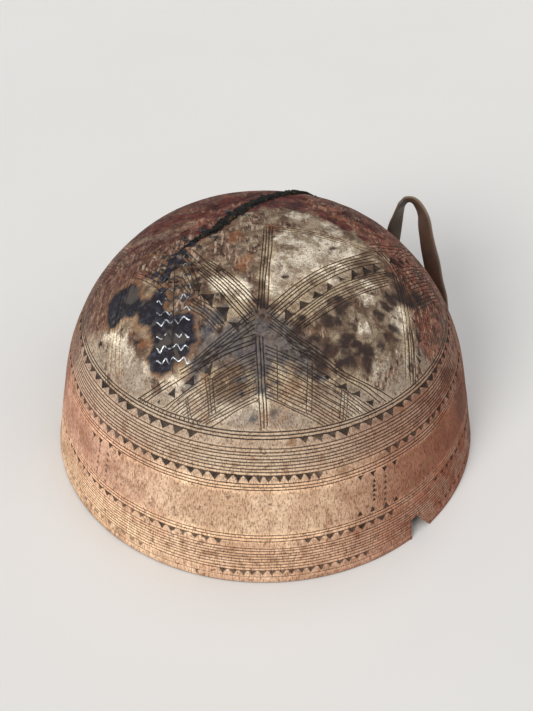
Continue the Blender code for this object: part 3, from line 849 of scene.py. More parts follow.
soot_patches = (
    (-15.0, 11.0, 3.0), (-11.5, 14.6, 2.6), (-6.0, 18.5, 3.4), (-2.0, 21.0, 3.0), (-18.0, 1.8, 2.0),
    (-14.5, 3.2, 1.8), (9.0, 14.5, 2.6), (5.0, 18.5, 3.0), (8.0, 20.5, 3.0), (17.0, 7.0, 1.8),
    (15.3, 9.4, 1.8), (18.6, 5.0, 1.4), (13.6, 11.6, 1.8), (23.0, 1.8, 1.4), (8.0, 11.4, 1.6),
    (3.0, 13.6, 1.8), (-8.6, 8.2, 1.6), (-0.5, 12.5, 2.0), (3.0, 11.5, 1.8), (-2.5, 9.8, 1.6),
    (7.0, 13.5, 2.4), (0.0, 16.0, 3.0), (-9.0, 17.5, 3.0), (-16.0, 10.0, 2.4), (-25.0, 9.5, 2.4),
    (-12.0, 9.5, 2.0), (-21.0, 12.0, 2.4), (-26.0, 8.0, 1.8), (-32.0, 3.0, 2.2), (-30.0, 12.0, 3.0),
    (20.0, 13.0, 2.4), (26.0, 9.0, 2.2), (31.8, -3.4, 1.5), (30.6, -12.8, 1.6), (34.0, -14.6, 1.7),
    (-40.0, 0.0, 2.4),
)
rust_patches = (
    (55.5, -41.7, 1.4), (50.7, -45.8, 0.7), (52, -36.5, 1.6), (-63, -29, 2.4), (-58.5, -36.5, 2.0),
    (-6.5, -2.5, 2.0), (1.5, 1.4, 1.4), (-3.4, -10.6, 1.5), (-61, -33, 1.6), (-30.6, -24.0, 1.0),
    (-28.2, -27.6, 0.9), (-27.4, -32.6, 0.9), (-5, -12.5, 2.2), (12, -80, 1.8), (-38, -44, 1.6),
    (30, -74, 1.4), (-13.0, -38.6, 1.2), (-17.4, -37.9, 1.0), (17.2, 9.0, 2.0), (-34.0, -6.4, 1.0),
    (34, -40, 1.4), (-36.0, -47.0, 1.2), (-20, -80, 1.8), (-46.0, -52.0, 1.4), (-3.0, -56.0, 1.2),
)
pale_patches = (
    (11.0, -7.5, 5.6), (6.5, -12.5, 4.5), (13.5, -13.5, 4.0), (18.0, -4.5, 3.0), (3.0, -18.5, 3.0),
    (-5.5, -19.0, 3.2), (-9.5, -17.5, 2.6), (-35.0, -27.0, 4.5), (-30.5, -33.5, 4.0), (-38.5, -22.5, 2.5),
    (22.5, -17.5, 3.0), (31.0, -21.5, 3.0), (26.0, -33.0, 3.0), (21.0, -26.0, 2.0), (0.0, -48.0, 5.0),
    (-27.0, 3.5, 2.6), (-23.5, 2.5, 2.4), (-20.5, 4.5, 2.2), (-17.8, 6.0, 1.6), (-30.0, 5.0, 1.8),
    (8.0, -47.5, 3.5), (-8.5, -47.0, 3.5), (8.5, 7.6, 2.2), (16.0, 3.0, 2.6), (-21.0, 5.0, 1.6),
    (-22.0, -39.0, 3.0), (-17.0, -43.5, 3.0), (20.0, -43.5, 3.0), (4.5, -3.5, 2.6), (33.0, -30.0, 2.4),
)


# How closely the mesh's corners lie, in degrees on the map, and how far out they go
plain_pitch = 1.0
stained_pitch = 0.45
inside_pitch = 2.2
groove_cell = 0.3
outermost_polar = 88.9
inside_outermost_polar = 88
stained_boxes = (((-39, -37), (-12, -6)), ((-10, -46), (33, -16)))

# Unevenness of the hewn wood, as the height, reach and seed of its waves, and of the broken edges
outer_waves = ((0.22 * mm, 0.06, 41), (0.07 * mm, 0.014, 42))
inner_waves = ((0.3 * mm, 0.03, 43),)
broken_rough = 0.25 * mm

# The unwrapped layout: middle and reach of the outer and inner sides, and a column for each edge row
outer_layout = (0.415, 0.405)
inner_layout = (0.91, 0.075)
edge_column = 0.85
edge_column_step = 0.006
edge_column_height = 0.80


def uneven(points, waves):
    return sum(height * ripple(points, reach, seed) for height, reach, seed in waves)


def stirred(places, sway, seed, wide=(0.55, 4.5), fine=(0.38, 1.9)):
    """Places moved a little this way and that. Wide and fine are waves: their height and reach."""
    return places + sway * np.column_stack([
        wide[0] * ripple(places, wide[1], seed + k) + fine[0] * ripple(places, fine[1], seed + 10 + k)
        for k in (0, 1)
    ])


def spread(places, patches, sway=1.0, seed=400):
    """One inside the patches, falling to zero at about one and a half times their radius."""
    moved = stirred(places, sway, seed)
    level = np.zeros(len(places))
    for x, y, radius in patches:
        near = np.flatnonzero((abs(moved - (x, y)) < radius * 2).all(1))
        gap = np.hypot(moved[near, 0] - x, moved[near, 1] - y) / radius
        level[near] = np.maximum(level[near], np.clip(1.5 - gap, 0, 1))
    return level


def within(places, edge, soft, sway, seed):
    """One inside the edge, zero outside it, a half on it; stirred so that the edge wanders."""
    edge = np.array(edge, float)
    moved = stirred(places, sway, seed, (0.6, 5.0), (0.4, 2.0))
    near = in_box(moved, edge.min(0) - soft, edge.max(0) + soft)
    gap = distance_to_way(moved[near], closed(edge))
    gap[~inside_polygon(moved[near], edge)] *= -1
    level = np.zeros(len(places))
    level[near] = np.clip(0.5 + gap / soft / 2, 0, 1)
    return level


def crack_heap(share):
    """How far the pitch is heaped over the crack: not at all in front, fully over the crown."""
    rise = smoothstep(crack_opening_shares[0] - 0.10, crack_opening_shares[1] - 0.04, share)
    return rise * smoothstep(1.0, 0.96, share)


def crack_nearness(places, reach, weight=None):
    """One on the crack, falling to nothing at twice the reach."""
    level = np.zeros(len(places))
    near = in_box(places, crack_map.min(0) - reach * 2, crack_map.max(0) + reach * 2)
    gaps = np.linalg.norm(places[near, None] - crack_map[None, ::2], axis=2)
    level[near] = np.exp(-(gaps.min(1) / reach) ** 2)
    if weight:
        level[near] *= weight(gaps.argmin(1) / gaps.shape[1])
    return level


def grid(low, high, pitch):
    x, y = np.meshgrid(np.arange(low[0], high[0], pitch), np.arange(low[1], high[1], pitch))
    return np.column_stack([x.ravel(), y.ravel()])


def fill_points(loops, ways):
    """Points between the grooves: closer together where the stains lie."""
    chance = np.random.default_rng(3)
    places = []
    whole = ((-90, -90), (90, 90), plain_pitch)
    for low, high, pitch in (whole, *((*box, stained_pitch) for box in stained_boxes)):
        even = grid(low, high, pitch)
        places.append(even + chance.uniform(-0.25, 0.25, even.shape) * pitch)
    places = np.vstack(places)
    places = places[np.hypot(places[:, 0], places[:, 1]) < outermost_polar]
    # Near the rim the points keep clear of the edges; beside the crack they may come close to it
    for loop in loops:
        near = in_box(places, loop.min(0) - 1, loop.max(0) + 1)
        near = near[np.hypot(*places[near].T) > near_rim]
        gaps = np.full(len(places), 9.0)
        gaps[near] = distance_to_way(places[near], closed(loop))
        inside = inside_polygon(places, loop)
        places = places[(gaps > groove_margin) & (inside if loop is loops[0] else ~inside)]
    taken = set()
    for way in ways:
        taken.update(map(tuple, np.floor(way / groove_cell).astype(int).tolist()))
    cells = np.floor(places / groove_cell).astype(int).tolist()
    kept = [tuple(cell) not in taken for cell in cells]
    return places[np.array(kept)]


def hewn_points(loops, chance):
    """Points over the hollowed inside."""
    places = grid((-90, -90), (90, 90), inside_pitch)
    places = places + chance.uniform(-0.5, 0.5, places.shape)
    places = places[np.hypot(places[:, 0], places[:, 1]) < inside_outermost_polar]
    for loop in loops[1:]:
        places = places[~inside_polygon(places, loop)]
    return places[inside_polygon(places, loops[0])]


def linked(name, data):
    made = bpy.data.objects.new(name, data)
    bpy.context.scene.collection.objects.link(made)
    return made


def set_attribute(mesh, name, values):
    """A number for each corner of the mesh, and zero for the corners past the last value."""
    numbers = np.zeros(len(mesh.vertices), np.float32)
    numbers[: len(values)] = values
    mesh.attributes.new(name, "FLOAT", "POINT").data.foreach_set("value", numbers)


def edge_rows(edge, chance):
    """Rows of corners through the wall at an opening: rounded at both ends, rough where it is broken."""
    ease = edge.round / rim_wall
    for inset_share, through in (
        (0.29, 0.29 * ease), (0.0, ease), (0.0, 0.36), (0.0, 0.66), (0.0, 1 - ease), (0.29, 1 - 0.29 * ease),
    ):
        on_outer, on_inner = edge.at(edge.round * inset_share)
        first, last = on_outside(on_outer)[0], on_inside(on_inner)[0]
        share = np.broadcast_to(through, len(first))[:, None]
        row = first + (last - first) * share
        if edge.broken is not None and 0.3 < share[0, 0] < 0.7:
            rough = broken_rough * chance.normal(size=(len(row), 2)).clip(-1.5, 1.5)
            row[:, :2] += rough * edge.broken
        yield row


def bowl_fields(outer, cut, ridge, tone):
    """What the wood's material reads at each corner of the outer side."""
    fields = dict(cut=cut, tone=tone, ridge=ridge)
    for number, (name, patches) in enumerate((
        ("tar", tar_patches), ("skin", skin_patches), ("smear", smear_patches), ("spot", spot_patches),
        ("brown", brown_patches), ("rust", rust_patches), ("pale", pale_patches),
    )):
        fields[name] = spread(outer, patches, seed=400 + 20 * number)
    fields["tar"] = np.maximum(fields["tar"], within(outer, tar_edge, 1.6, 0.55, 700))
    fields["smear"] = np.maximum(fields["smear"], within(outer, smear_edge, 1.8, 0.6, 720))
    fields["back"] = within(outer, brown_edge, 4.0, 1.6, 740)
    fields["charred"] = crack_nearness(outer, 1.9, crack_heap)
    fields["soot"] = spread(outer, soot_patches, 1.2, 600)
    fields["dome"] = smoothstep(54, 49, np.hypot(outer[:, 0], outer[:, 1]))
    return fields


def make_bowl():
    """The carved wall as one closed mesh: outer side, rim, notch, crack, holes and hollowed inside."""
    edges = [RimEdge(), CrackEdge(), StrapHole(1), StrapHole(-1)]
    outer_loops, inner_loops = zip(*(edge.at(edge.round) for edge in edges))
    carving = carve()
    ways = carving.ways()
    outer, outer_faces, outer_edges = triangulated(outer_loops, ways, fill_points(outer_loops, ways))
    chance = np.random.default_rng(8)
    inner, inner_faces, inner_edges = triangulated(inner_loops, [], hewn_points(inner_loops, chance))

    points, facing = on_outside(outer)
    depth, cut, ridge, tone = carving.sink(outer)
    worn = crack_wear * crack_nearness(outer, 0.4) + heap_wear * crack_nearness(outer, 0.8, crack_heap)
    moved = uneven(points, outer_waves) * smoothstep(89.6, 87.5, np.hypot(outer[:, 0], outer[:, 1]))
    moved = moved - depth - worn
    moved[np.concatenate(outer_edges)] = 0
    points += facing * moved[:, None]
    inner_points, inner_facing = on_inside(inner)
    moved = uneven(inner_points, inner_waves)
    moved[np.concatenate(inner_edges)] = 0
    inner_points += inner_facing * moved[:, None]

    corners = [points, inner_points]
    faces = [outer_faces, inner_faces[:, ::-1] + len(points)]
    unwrap = [
        outer_layout[0] + outer / 90 * outer_layout[1], inner_layout[0] + inner / 90 * inner_layout[1],
    ]
    count = len(points) + len(inner_points)
    for edge, outer_loop, inner_loop in zip(edges, outer_edges, inner_edges):
        rows = [outer_loop]
        for row in edge_rows(edge, chance):
            column = np.full(len(row), edge_column + edge_column_step * (len(corners) - 2))
            unwrap.append(np.column_stack([column, np.linspace(0, edge_column_height, len(row))]))
            corners.append(row)
            rows.append(np.arange(count, count + len(row)))
            count += len(row)
        rows.append(inner_loop + len(points))
        for upper, lower in zip(rows, rows[1:]):
            faces.append(np.column_stack([upper, lower, np.roll(lower, -1), np.roll(upper, -1)]))

    mesh = bpy.data.meshes.new("carved_bowl")
    mesh.from_pydata(np.vstack(corners).tolist(), [], [face for group in faces for face in group.tolist()])
    mesh.validate()
    bowl = linked("carved_bowl", mesh)
    for name, values in bowl_fields(outer, cut, ridge, tone).items():
        set_attribute(mesh, name, values)
    set_attribute(mesh, "inside", np.arange(count) >= len(outer))
    mesh.shade_smooth()
    layer = mesh.uv_layers.new(name="OFBake")
    loops = np.zeros(len(mesh.loops), int)
    mesh.loops.foreach_get("vertex_index", loops)
    layer.data.foreach_set("uv", np.vstack(unwrap)[loops].astype(np.float32).ravel())
    return bowl


class Nodes:
    """Short calls for the nodes of a tree."""

    def __init__(self, tree):
        self.tree = tree

    def node(self, kind, inputs=None, **settings):
        """A new node with these inputs, given by name or number. Its outputs come back."""
        made = self.tree.nodes.new(kind)
        for name, value in settings.items():
            setattr(made, name, value)
        for name, value in (inputs or {}).items():
            self.join(value, made.inputs[name])
        return made.outputs

    def join(self, value, socket):
        if isinstance(value, bpy.types.NodeSocket):
            self.tree.links.new(value, socket)
        elif isinstance(value, tuple) and socket.type == "RGBA":
            socket.default_value = (*value, 1.0)
        else:
            socket.default_value = value

    def math(self, operation, first, second):
        return self.node("ShaderNodeMath", {0: first, 1: second}, operation=operation)[0]


class Shade(Nodes):
    """A material, and the colour laid on it so far."""

    def __init__(self, name):
        self.material = bpy.data.materials.new(name)
        self.material.use_nodes = True
        super().__init__(self.material.node_tree)
        self.shader = self.tree.nodes["Principled BSDF"].inputs
        self.place = self.node("ShaderNodeTexCoord")["Object"]

    def attribute(self, name):
        return self.node("ShaderNodeAttribute", attribute_name=name)["Fac"]

    def stretched(self, scale, turn=(0.0, 0.0, 0.0)):
        return self.node("ShaderNodeMapping", {"Vector": self.place, "Scale": scale, "Rotation": turn})[0]

    def noise(self, scale, detail=3.0, rough=0.55, twist=0.0, place=None):
        return self.node("ShaderNodeTexNoise", {
            "Vector": place or self.place, "Scale": scale, "Detail": detail, "Roughness": rough,
            "Distortion": twist,
        })["Fac"]

    def times(self, first, *others):
        for other in others:
            first = self.math("MULTIPLY", first, other)
        return first

    def step(self, value, low, high, start=0.0, end=1.0):
        """From start at low to end at high, smoothly."""
        return self.node("ShaderNodeMapRange", {
            "Value": value, "From Min": low, "From Max": high, "To Min": start, "To Max": end,
        }, interpolation_type="SMOOTHSTEP")[0]

    def mix(self, share, first, second, blend="MIX"):
        inputs = {"Factor": share, 6: first, 7: second}
        return self.node("ShaderNodeMix", inputs, data_type="RGBA", blend_type=blend)[2]

    def scaled(self, colour, by):
        return self.mix(1.0, colour, by, "MULTIPLY")

    def lay(self, colour, *shares):
        """Lay a colour over the one so far, as far as the product of the shares says."""
        self.colour = self.mix(self.times(*shares), self.colour, colour)

    def tint(self, by, *shares):
        """Multiply the colour so far, as far as the product of the shares says."""
        self.lay(self.scaled(self.colour, by), *shares)

    def frayed(self, level, noise, amount, low=0.35, high=0.65):
        """A mask whose edge is broken up by noise."""
        stir = self.times(self.math("SUBTRACT", noise, 0.5), amount)
        return self.step(self.math("ADD", level, stir), low, high)

    def bump(self, height, distance, strength, under=None):
        inputs = {"Height": height, "Distance": distance, "Strength": strength}
        if under is not None:
            inputs["Normal"] = under
        return self.node("ShaderNodeBump", inputs)["Normal"]

    def finish(self, roughness, normal=None, specular=None):
        for name, value in (
            ("Base Color", self.colour), ("Roughness", roughness), ("Normal", normal),
            ("Specular IOR Level", specular),
        ):
            if value is not None:
                self.join(value, self.shader[name])
        return self.material


def wood_material():
    """Scraped pale wood on the dome, warm wood on the wall, brown at the back, every stain, and painted shade
    and painted red bounce light.
    """
    s = Shade("carved_wood")
    x, y, z = s.node("ShaderNodeSeparateXYZ", {0: s.place})
    cloud = s.noise(13.0, 4.0, 0.62)
    blotch = s.noise(45.0, 6.0, 0.68, 0.4)
    mottle = s.noise(95.0, 6.0, 0.72, 0.2)
    spatter = s.noise(190.0, 5.0, 0.75, 0.3)
    fleck = s.noise(260.0, 5.0, 0.7)
    grit = s.noise(900.0, 3.0, 0.7)
    upright = s.stretched((1.0, 1.0, 0.12))
    streak = s.noise(210.0, 6.0, 0.7, 0.12, upright)
    fibre = s.noise(800.0, 4.0, 0.65, 0.0, upright)
    stroke = s.noise(1500.0, 2.0, 0.5, 0.0, s.stretched((1.0, 1.0, 0.055), (0.30, 0.22, 0.0)))
    flake = s.noise(560.0, 3.0, 0.6, 0.25, s.stretched((1.0, 0.28, 0.5), (0.4, 0.3, 0.7)))
    scraped = s.times(s.step(flake, 0.52, 0.60), s.step(blotch, 0.42, 0.54, 0.35, 1.0))
    back = s.frayed(s.attribute("back"), s.noise(60.0, 6.0, 0.7, 0.5), 1.1, 0.25, 0.75)
    pale = s.frayed(s.attribute("pale"), mottle, 1.3, 0.2, 0.8)
    dome = s.attribute("dome")
    wall = s.math("SUBTRACT", 1.0, dome)

    # The bare wood: the wall's warm brown, and the dome's paler grey with creamy patches
    s.colour = s.mix(s.step(blotch, 0.36, 0.64), (0.58, 0.375, 0.245), (0.78, 0.57, 0.39))
    tan = s.mix(s.step(streak, 0.34, 0.54), (0.54, 0.35, 0.225), s.colour)
    cream = s.mix(s.step(mottle, 0.40, 0.57), (0.35, 0.28, 0.20), (0.80, 0.72, 0.58))
    plain = s.mix(s.step(blotch, 0.41, 0.57), (0.105, 0.068, 0.047), (0.39, 0.315, 0.222))
    s.colour = s.mix(pale, plain, cream)
    s.lay((0.105, 0.068, 0.048), s.step(s.noise(120.0, 7.0, 0.76, 0.3), 0.51, 0.60, 0.0, 0.60))
    s.colour = s.mix(dome, tan, s.colour)

    # What the wall's sides, carved band, foot and back differ in; painted shade darkens the right side and
    # the foot's front and right
    s.tint((0.86, 0.68, 0.70), wall, s.step(z, 0.012, 0.045), s.step(x, -0.03, -0.12))
    band = s.times(s.step(z, 0.062, 0.080), s.step(z, 0.114, 0.102))
    s.lay((0.350, 0.286, 0.225), band, 0.74)
    # Painted shade: the lowest band is darker at the front and right, where less light falls than on the left
    s.tint((0.84, 0.80, 0.82), wall, s.step(z, 0.034, 0.024), s.step(x, -0.10, -0.02))
    # Painted shade on the wall's right side, reddened as a painted red bounce light
    painted_right_shade = s.times(wall, s.step(x, 0.0, 0.110))
    s.tint((0.44, 0.235, 0.21), painted_right_shade)
    s.tint((0.55, 0.42, 0.38), wall, s.step(y, 0.0, 0.09))
    s.lay((0.24, 0.125, 0.07), s.step(s.noise(30.0, 6.0, 0.7, 0.5), 0.50, 0.70, 0.0, 0.55))
    wood = s.colour

    # The handled, sooted brown of the back, made redder as painted red bounce light, scraped to paler wood in
    # short strokes
    sage = s.times(dome, s.step(x, -0.055, -0.095, 0.0, 0.75))
    # The back's red is partly the sooted wood's own colour and partly painted red bounce light
    ruby = s.mix(sage, (0.225, 0.070, 0.046), (0.170, 0.112, 0.085))
    ruby = s.mix(s.times(pale, 0.85), ruby, (0.46, 0.33, 0.22))
    s.colour = s.mix(s.step(mottle, 0.43, 0.56), s.scaled(ruby, (0.20, 0.12, 0.15)), ruby)
    s.lay(s.mix(0.5, ruby, (0.48, 0.30, 0.21)), s.step(streak, 0.50, 0.62, 0.0, 0.5))
    s.lay((0.032, 0.010, 0.010), s.step(streak, 0.46, 0.38, 0.0, 0.85))
    s.lay((0.50, 0.36, 0.27), scraped, s.step(pale, 0.0, 1.0, 0.5, 0.95))
    s.lay((0.026, 0.009, 0.009), s.step(fleck, 0.48, 0.41, 0.0, 0.75))
    s.lay((0.060, 0.020, 0.021), s.step(cloud, 0.42, 0.58, 0.0, 0.55))
    s.colour = s.mix(s.times(back, s.step(z, 0.075, 0.110, 0.5, 0.94)), wood, s.colour)

    # Ridges rubbed paler between the lines, fine strokes, flecks and grit
    ridge = s.attribute("ridge")
    s.tint((1.45, 1.42, 1.36), ridge)
    rubbed = s.times(ridge, s.step(mottle, 0.43, 0.56))
    s.lay((0.55, 0.36, 0.26), rubbed, s.times(painted_right_shade, 0.55))
    s.tint((0.46, 0.38, 0.32), s.step(stroke, 0.36, 0.47, 0.85, 0.0))
    s.tint((1.30, 1.28, 1.25), s.step(stroke, 0.56, 0.68, 0.0, 0.6))
    s.lay((0.15, 0.080, 0.050), s.step(fleck, 0.34, 0.43, 0.7, 0.0))
    s.lay((0.14, 0.080, 0.050), s.step(grit, 0.36, 0.46, 0.55, 0.0))

    # Brown patches, soot reddened to burgundy partly as painted red bounce light, rust and the grey smear on
    # the star
    brown = s.mix(s.step(fleck, 0.43, 0.58), (0.026, 0.012, 0.010), (0.175, 0.100, 0.068))
    brown = s.mix(s.times(scraped, 0.8), brown, (0.52, 0.40, 0.30))
    brown = s.mix(wall, brown, (0.27, 0.145, 0.075))
    browned = s.frayed(s.attribute("brown"), spatter, 2.0, 0.25, 1.0)
    s.lay(brown, browned, s.step(wall, 0.0, 1.0, 0.88, 0.66))
    smoked = s.times(back, s.step(s.noise(16.0, 6.0, 0.68, 0.6), 0.50, 0.64, 0.0, 0.75))
    sooty = s.math("MAXIMUM", s.attribute("soot"), s.times(smoked, s.step(y, 0.02, 0.06)))
    # The soot's burgundy is partly painted red bounce light over the black-brown soot
    burgundy = s.mix(s.step(mottle, 0.42, 0.57), (0.026, 0.005, 0.006), (0.105, 0.022, 0.020))
    burgundy = s.mix(s.step(fleck, 0.52, 0.62, 0.0, 0.45), burgundy, (0.20, 0.085, 0.065))
    s.lay(burgundy, s.frayed(sooty, s.noise(70.0, 6.0, 0.7, 0.6), 1.7, 0.2, 0.95), 0.93)
    rusty = s.frayed(s.attribute("rust"), s.noise(150.0, 5.0, 0.7), 1.2, 0.3, 1.1)
    s.lay((0.27, 0.105, 0.045), rusty, 0.6)
    grey = s.mix(s.step(fleck, 0.41, 0.60), (0.030, 0.027, 0.028), (0.165, 0.148, 0.138))
    grey = s.mix(s.step(blotch, 0.44, 0.56, 0.0, 0.75), grey, (0.058, 0.066, 0.088))
    s.lay(grey, s.frayed(s.attribute("smear"), s.noise(150.0, 6.0, 0.75, 0.5), 2.2, 0.15, 0.95), 0.85)

    # Dark spots with brown halos, then tar with a stained edge and a dull skin, then the charred crack
    s.lay((0.155, 0.095, 0.06), s.frayed(s.attribute("spot"), mottle, 1.4, 0.0, 0.9), 0.6)
    s.lay((0.028, 0.019, 0.019), s.frayed(s.attribute("spot"), spatter, 1.5, 0.30, 1.05), 0.92)
    ragged = s.noise(130.0, 6.0, 0.72, 0.4)
    s.lay((0.27, 0.135, 0.065), s.frayed(s.attribute("tar"), ragged, 1.2, 0.0, 0.5), 0.6)
    tar = s.frayed(s.attribute("tar"), ragged, 1.2, 0.30, 0.72)
    black = s.mix(s.step(fleck, 0.46, 0.72), (0.005, 0.008, 0.016), (0.044, 0.055, 0.082))
    skin = s.frayed(s.attribute("skin"), fleck, 0.8, 0.2, 0.8)
    s.lay(s.mix(s.times(skin, 0.8), black, (0.075, 0.066, 0.060)), tar, 0.95)
    charred = s.frayed(s.attribute("charred"), s.noise(140.0, 6.0, 0.75), 1.3, 0.25, 0.8)
    s.lay((0.014, 0.010, 0.009), charred, 0.93)

    # The dark filling of the carving, and the plain hollowed inside
    filled = s.times(s.step(s.attribute("cut"), 0.02, 0.26), s.attribute("tone"))
    filling = s.mix(s.step(fleck, 0.38, 0.62), (0.012, 0.009, 0.008), (0.042, 0.032, 0.026))
    s.lay(filling, filled, s.step(mottle, 0.25, 0.5, 0.76, 0.98))
    hollow = s.mix(s.step(blotch, 0.35, 0.7), (0.15, 0.085, 0.05), (0.27, 0.17, 0.10))
    s.lay(hollow, s.attribute("inside"))

    uneven = s.math("ADD", s.times(fleck, 0.6), s.times(cloud, 0.4))
    rough = s.math("SUBTRACT", s.step(uneven, 0.3, 0.7, 0.52, 0.80), s.times(tar, 0.20))
    fine = s.bump(fibre, 0.00030, 0.7, s.bump(streak, 0.0006, 0.7))
    tarry = s.bump(s.times(tar, s.noise(330.0, 4.0, 0.6)), 0.0008, 0.8, fine)
    return s.finish(rough, s.bump(grit, 0.00015, 0.7, tarry), specular=0.08)


def pitch_material():
    s = Shade("pitch")
    lump = s.noise(240.0, 5.0, 0.65, 0.4)
    dust = s.noise(700.0, 4.0, 0.7)
    s.colour = s.mix(s.step(lump, 0.42, 0.72), (0.004, 0.004, 0.004), (0.030, 0.024, 0.018))
    ochre = s.times(s.step(s.noise(95.0, 4.0, 0.6), 0.56, 0.66), s.step(dust, 0.40, 0.62))
    s.lay((0.20, 0.125, 0.045), ochre, 0.75)
    normal = s.bump(dust, 0.0006, 0.9, s.bump(lump, 0.0016, 1.0))
    return s.finish(s.step(lump, 0.35, 0.65, 0.62, 0.95), normal, specular=0.2)


def wire_material():
    """Bright wire where it is bare, dull where pitch and dirt cover it."""
    s = Shade("stitch_wire")
    tarnish = s.noise(230.0, 4.0, 0.65, 0.2)
    dull = s.step(s.math("SUBTRACT", tarnish, s.times(s.attribute("bare"), 0.30)), 0.20, 0.38)
    s.colour = s.mix(dull, (0.55, 0.58, 0.62), (0.022, 0.022, 0.025))
    s.join(s.step(dull, 0.0, 1.0, 1.0, 0.35), s.shader["Metallic"])
    normal = s.bump(s.noise(2600.0, 3.0, 0.6), 0.00008, 0.5)
    return s.finish(s.step(tarnish, 0.4, 0.62, 0.24, 0.6), normal)


def hide_material():
    """Dried hide: its two legs, the greyer bend at the top and the worn edges differ."""
    s = Shade("strap_hide")
    grain = s.node("ShaderNodeTexVoronoi", {"Vector": s.place, "Scale": 1500.0}, feature="F1")["Distance"]
    pore = s.noise(1900.0, 3.0, 0.6)
    stain = s.noise(60.0, 5.0, 0.65, 0.3)
    s.colour = s.mix(s.step(s.attribute("far"), 0.42, 0.56), (0.130, 0.070, 0.044), (0.105, 0.066, 0.042))
    s.lay(s.mix(0.45, s.colour, (0.028, 0.020, 0.013)), s.step(stain, 0.38, 0.66))
    s.lay((0.16, 0.165, 0.18), s.attribute("bend"), 0.8)
    worn = s.math("ADD", s.attribute("worn"), s.times(s.math("SUBTRACT", stain, 0.5), 0.8))
    s.lay((0.24, 0.175, 0.11), s.step(worn, 0.55, 1.1, 0.0, 0.7))
    s.lay((0.025, 0.018, 0.012), s.step(pore, 0.28, 0.50, 0.35, 0.0))
    creased = s.bump(s.noise(420.0, 4.0, 0.6, 0.5), 0.0005, 0.6)
    normal = s.bump(pore, 0.00012, 0.5, s.bump(grain, 0.0002, 0.5, creased))
    return s.finish(s.step(stain, 0.3, 0.7, 0.42, 0.66), normal)


def new_mesh_object(name, corners, faces, material):
    mesh = bpy.data.meshes.new(name)
    mesh.from_pydata(corners.tolist(), [], faces)
    mesh.validate()
    mesh.materials.append(material)
    mesh.shade_smooth()
    return linked(name, mesh)


def bar_faces(count, around):
    """Faces of a closed bar, whose corners come in this many rings of so many around."""
    faces = []
    for i in range(count - 1):
        for k in range(around):
            j = (k + 1) % around
            faces.append((i * around + k, i * around + j, (i + 1) * around + j, (i + 1) * around + k))
    first = tuple(range(around))
    return [*faces, first[::-1], tuple((count - 1) * around + k for k in first)]


def crack_frames(pitch):
    """Places along the crack with the ways out of the wood, along and across there."""
    points, facing = on_outside(evenly(crack_map, pitch / map_degree))
    ahead = unit(np.gradient(points, axis=0))
    return points, facing, ahead, unit(np.cross(ahead, facing))


def make_pitch(material):
    """Pitch pressed into the crack: flush and thin in front, heaped and crumbly over the crown."""
    points, facing, _, across = crack_frames(pitch_step)
    share = np.linspace(0, 1, len(points))
    half = crack_half_width(share)
    heaped = crack_heap(share)
    through = points * to_inside - points
    chance = np.random.default_rng(17)
    section = []
    for k in range(pitch_around):
        angle = math.tau * k / pitch_around
        side, up = math.cos(angle), math.sin(angle)
        rough = chance.normal(size=len(points)).clip(-1.5, 1.5)
        wave = ripple(np.column_stack([share * 190, np.full(len(points), k * 0.7)]), 3.0, 61)
        if up > -0.2:
            height = (0.15 + 1.15 * heaped) * mm * max(up, 0) * (1 + 0.5 * wave) + 0.42 * mm * heaped * rough
            height = np.clip(height, -0.3 * mm, 1.6 * mm) - 0.15 * mm * (1 - heaped)
            breadth = (half - 0.05 * mm + heaped * mm * (1.0 + 0.9 * wave + 0.35 * rough)) * side
            section.append(points + across * breadth[:, None] + facing * height[:, None])
        else:
            down = 1.0 if up < -0.6 else 0.45
            section.append(points + through * down + across * ((half - 0.1 * mm) * side)[:, None])
    parts = [np.stack(section, 1).reshape(-1, 3)]
    faces = bar_faces(len(points), pitch_around)
    count = len(parts[0])
    cube = np.array([(x, y, z) for x in (-1, 1) for y in (-1, 1) for z in (-1, 1)], float)
    sides = ((0, 1, 3, 2), (4, 6, 7, 5), (0, 4, 5, 1), (2, 3, 7, 6), (0, 2, 6, 4), (1, 5, 7, 3))
    for index in chance.choice(np.flatnonzero(heaped > 0.3), crumb_count):
        size = chance.uniform(*crumb_millimetres) * mm
        reach = chance.uniform(*crumb_reach_millimetres) * mm * heaped[index]
        aside = (half[index] + reach) * chance.choice((-1, 1))
        place = points[index] + across[index] * aside + facing[index] * size * 0.25
        parts.append(place + cube * size * chance.uniform(0.55, 1.0, (8, 3)))
        faces += [tuple(count + k for k in side) for side in sides]
        count += 8
    return new_mesh_object("pitch_filling", np.vstack(parts), faces, material)


def bent_wire(name, centre, chance):
    """A round wire of slightly uneven thickness along these places, as a mesh."""
    curve = bpy.data.curves.new(name, "CURVE")
    curve.dimensions = "3D"
    curve.bevel_depth = wire_radius * 0.95
    curve.bevel_resolution = 2
    curve.use_fill_caps = True
    line = curve.splines.new("POLY")
    line.points.add(len(centre) - 1)
    for place, node in zip(centre, line.points):
        node.co = (*place, 1.0)
        node.radius = 1.0 + stitch_unevenness * chance.normal()
    holder = linked(curve.name, curve)
    mesh = bpy.data.meshes.new_from_object(holder.evaluated_get(bpy.context.evaluated_depsgraph_get()))
    bpy.data.objects.remove(holder)
    return mesh


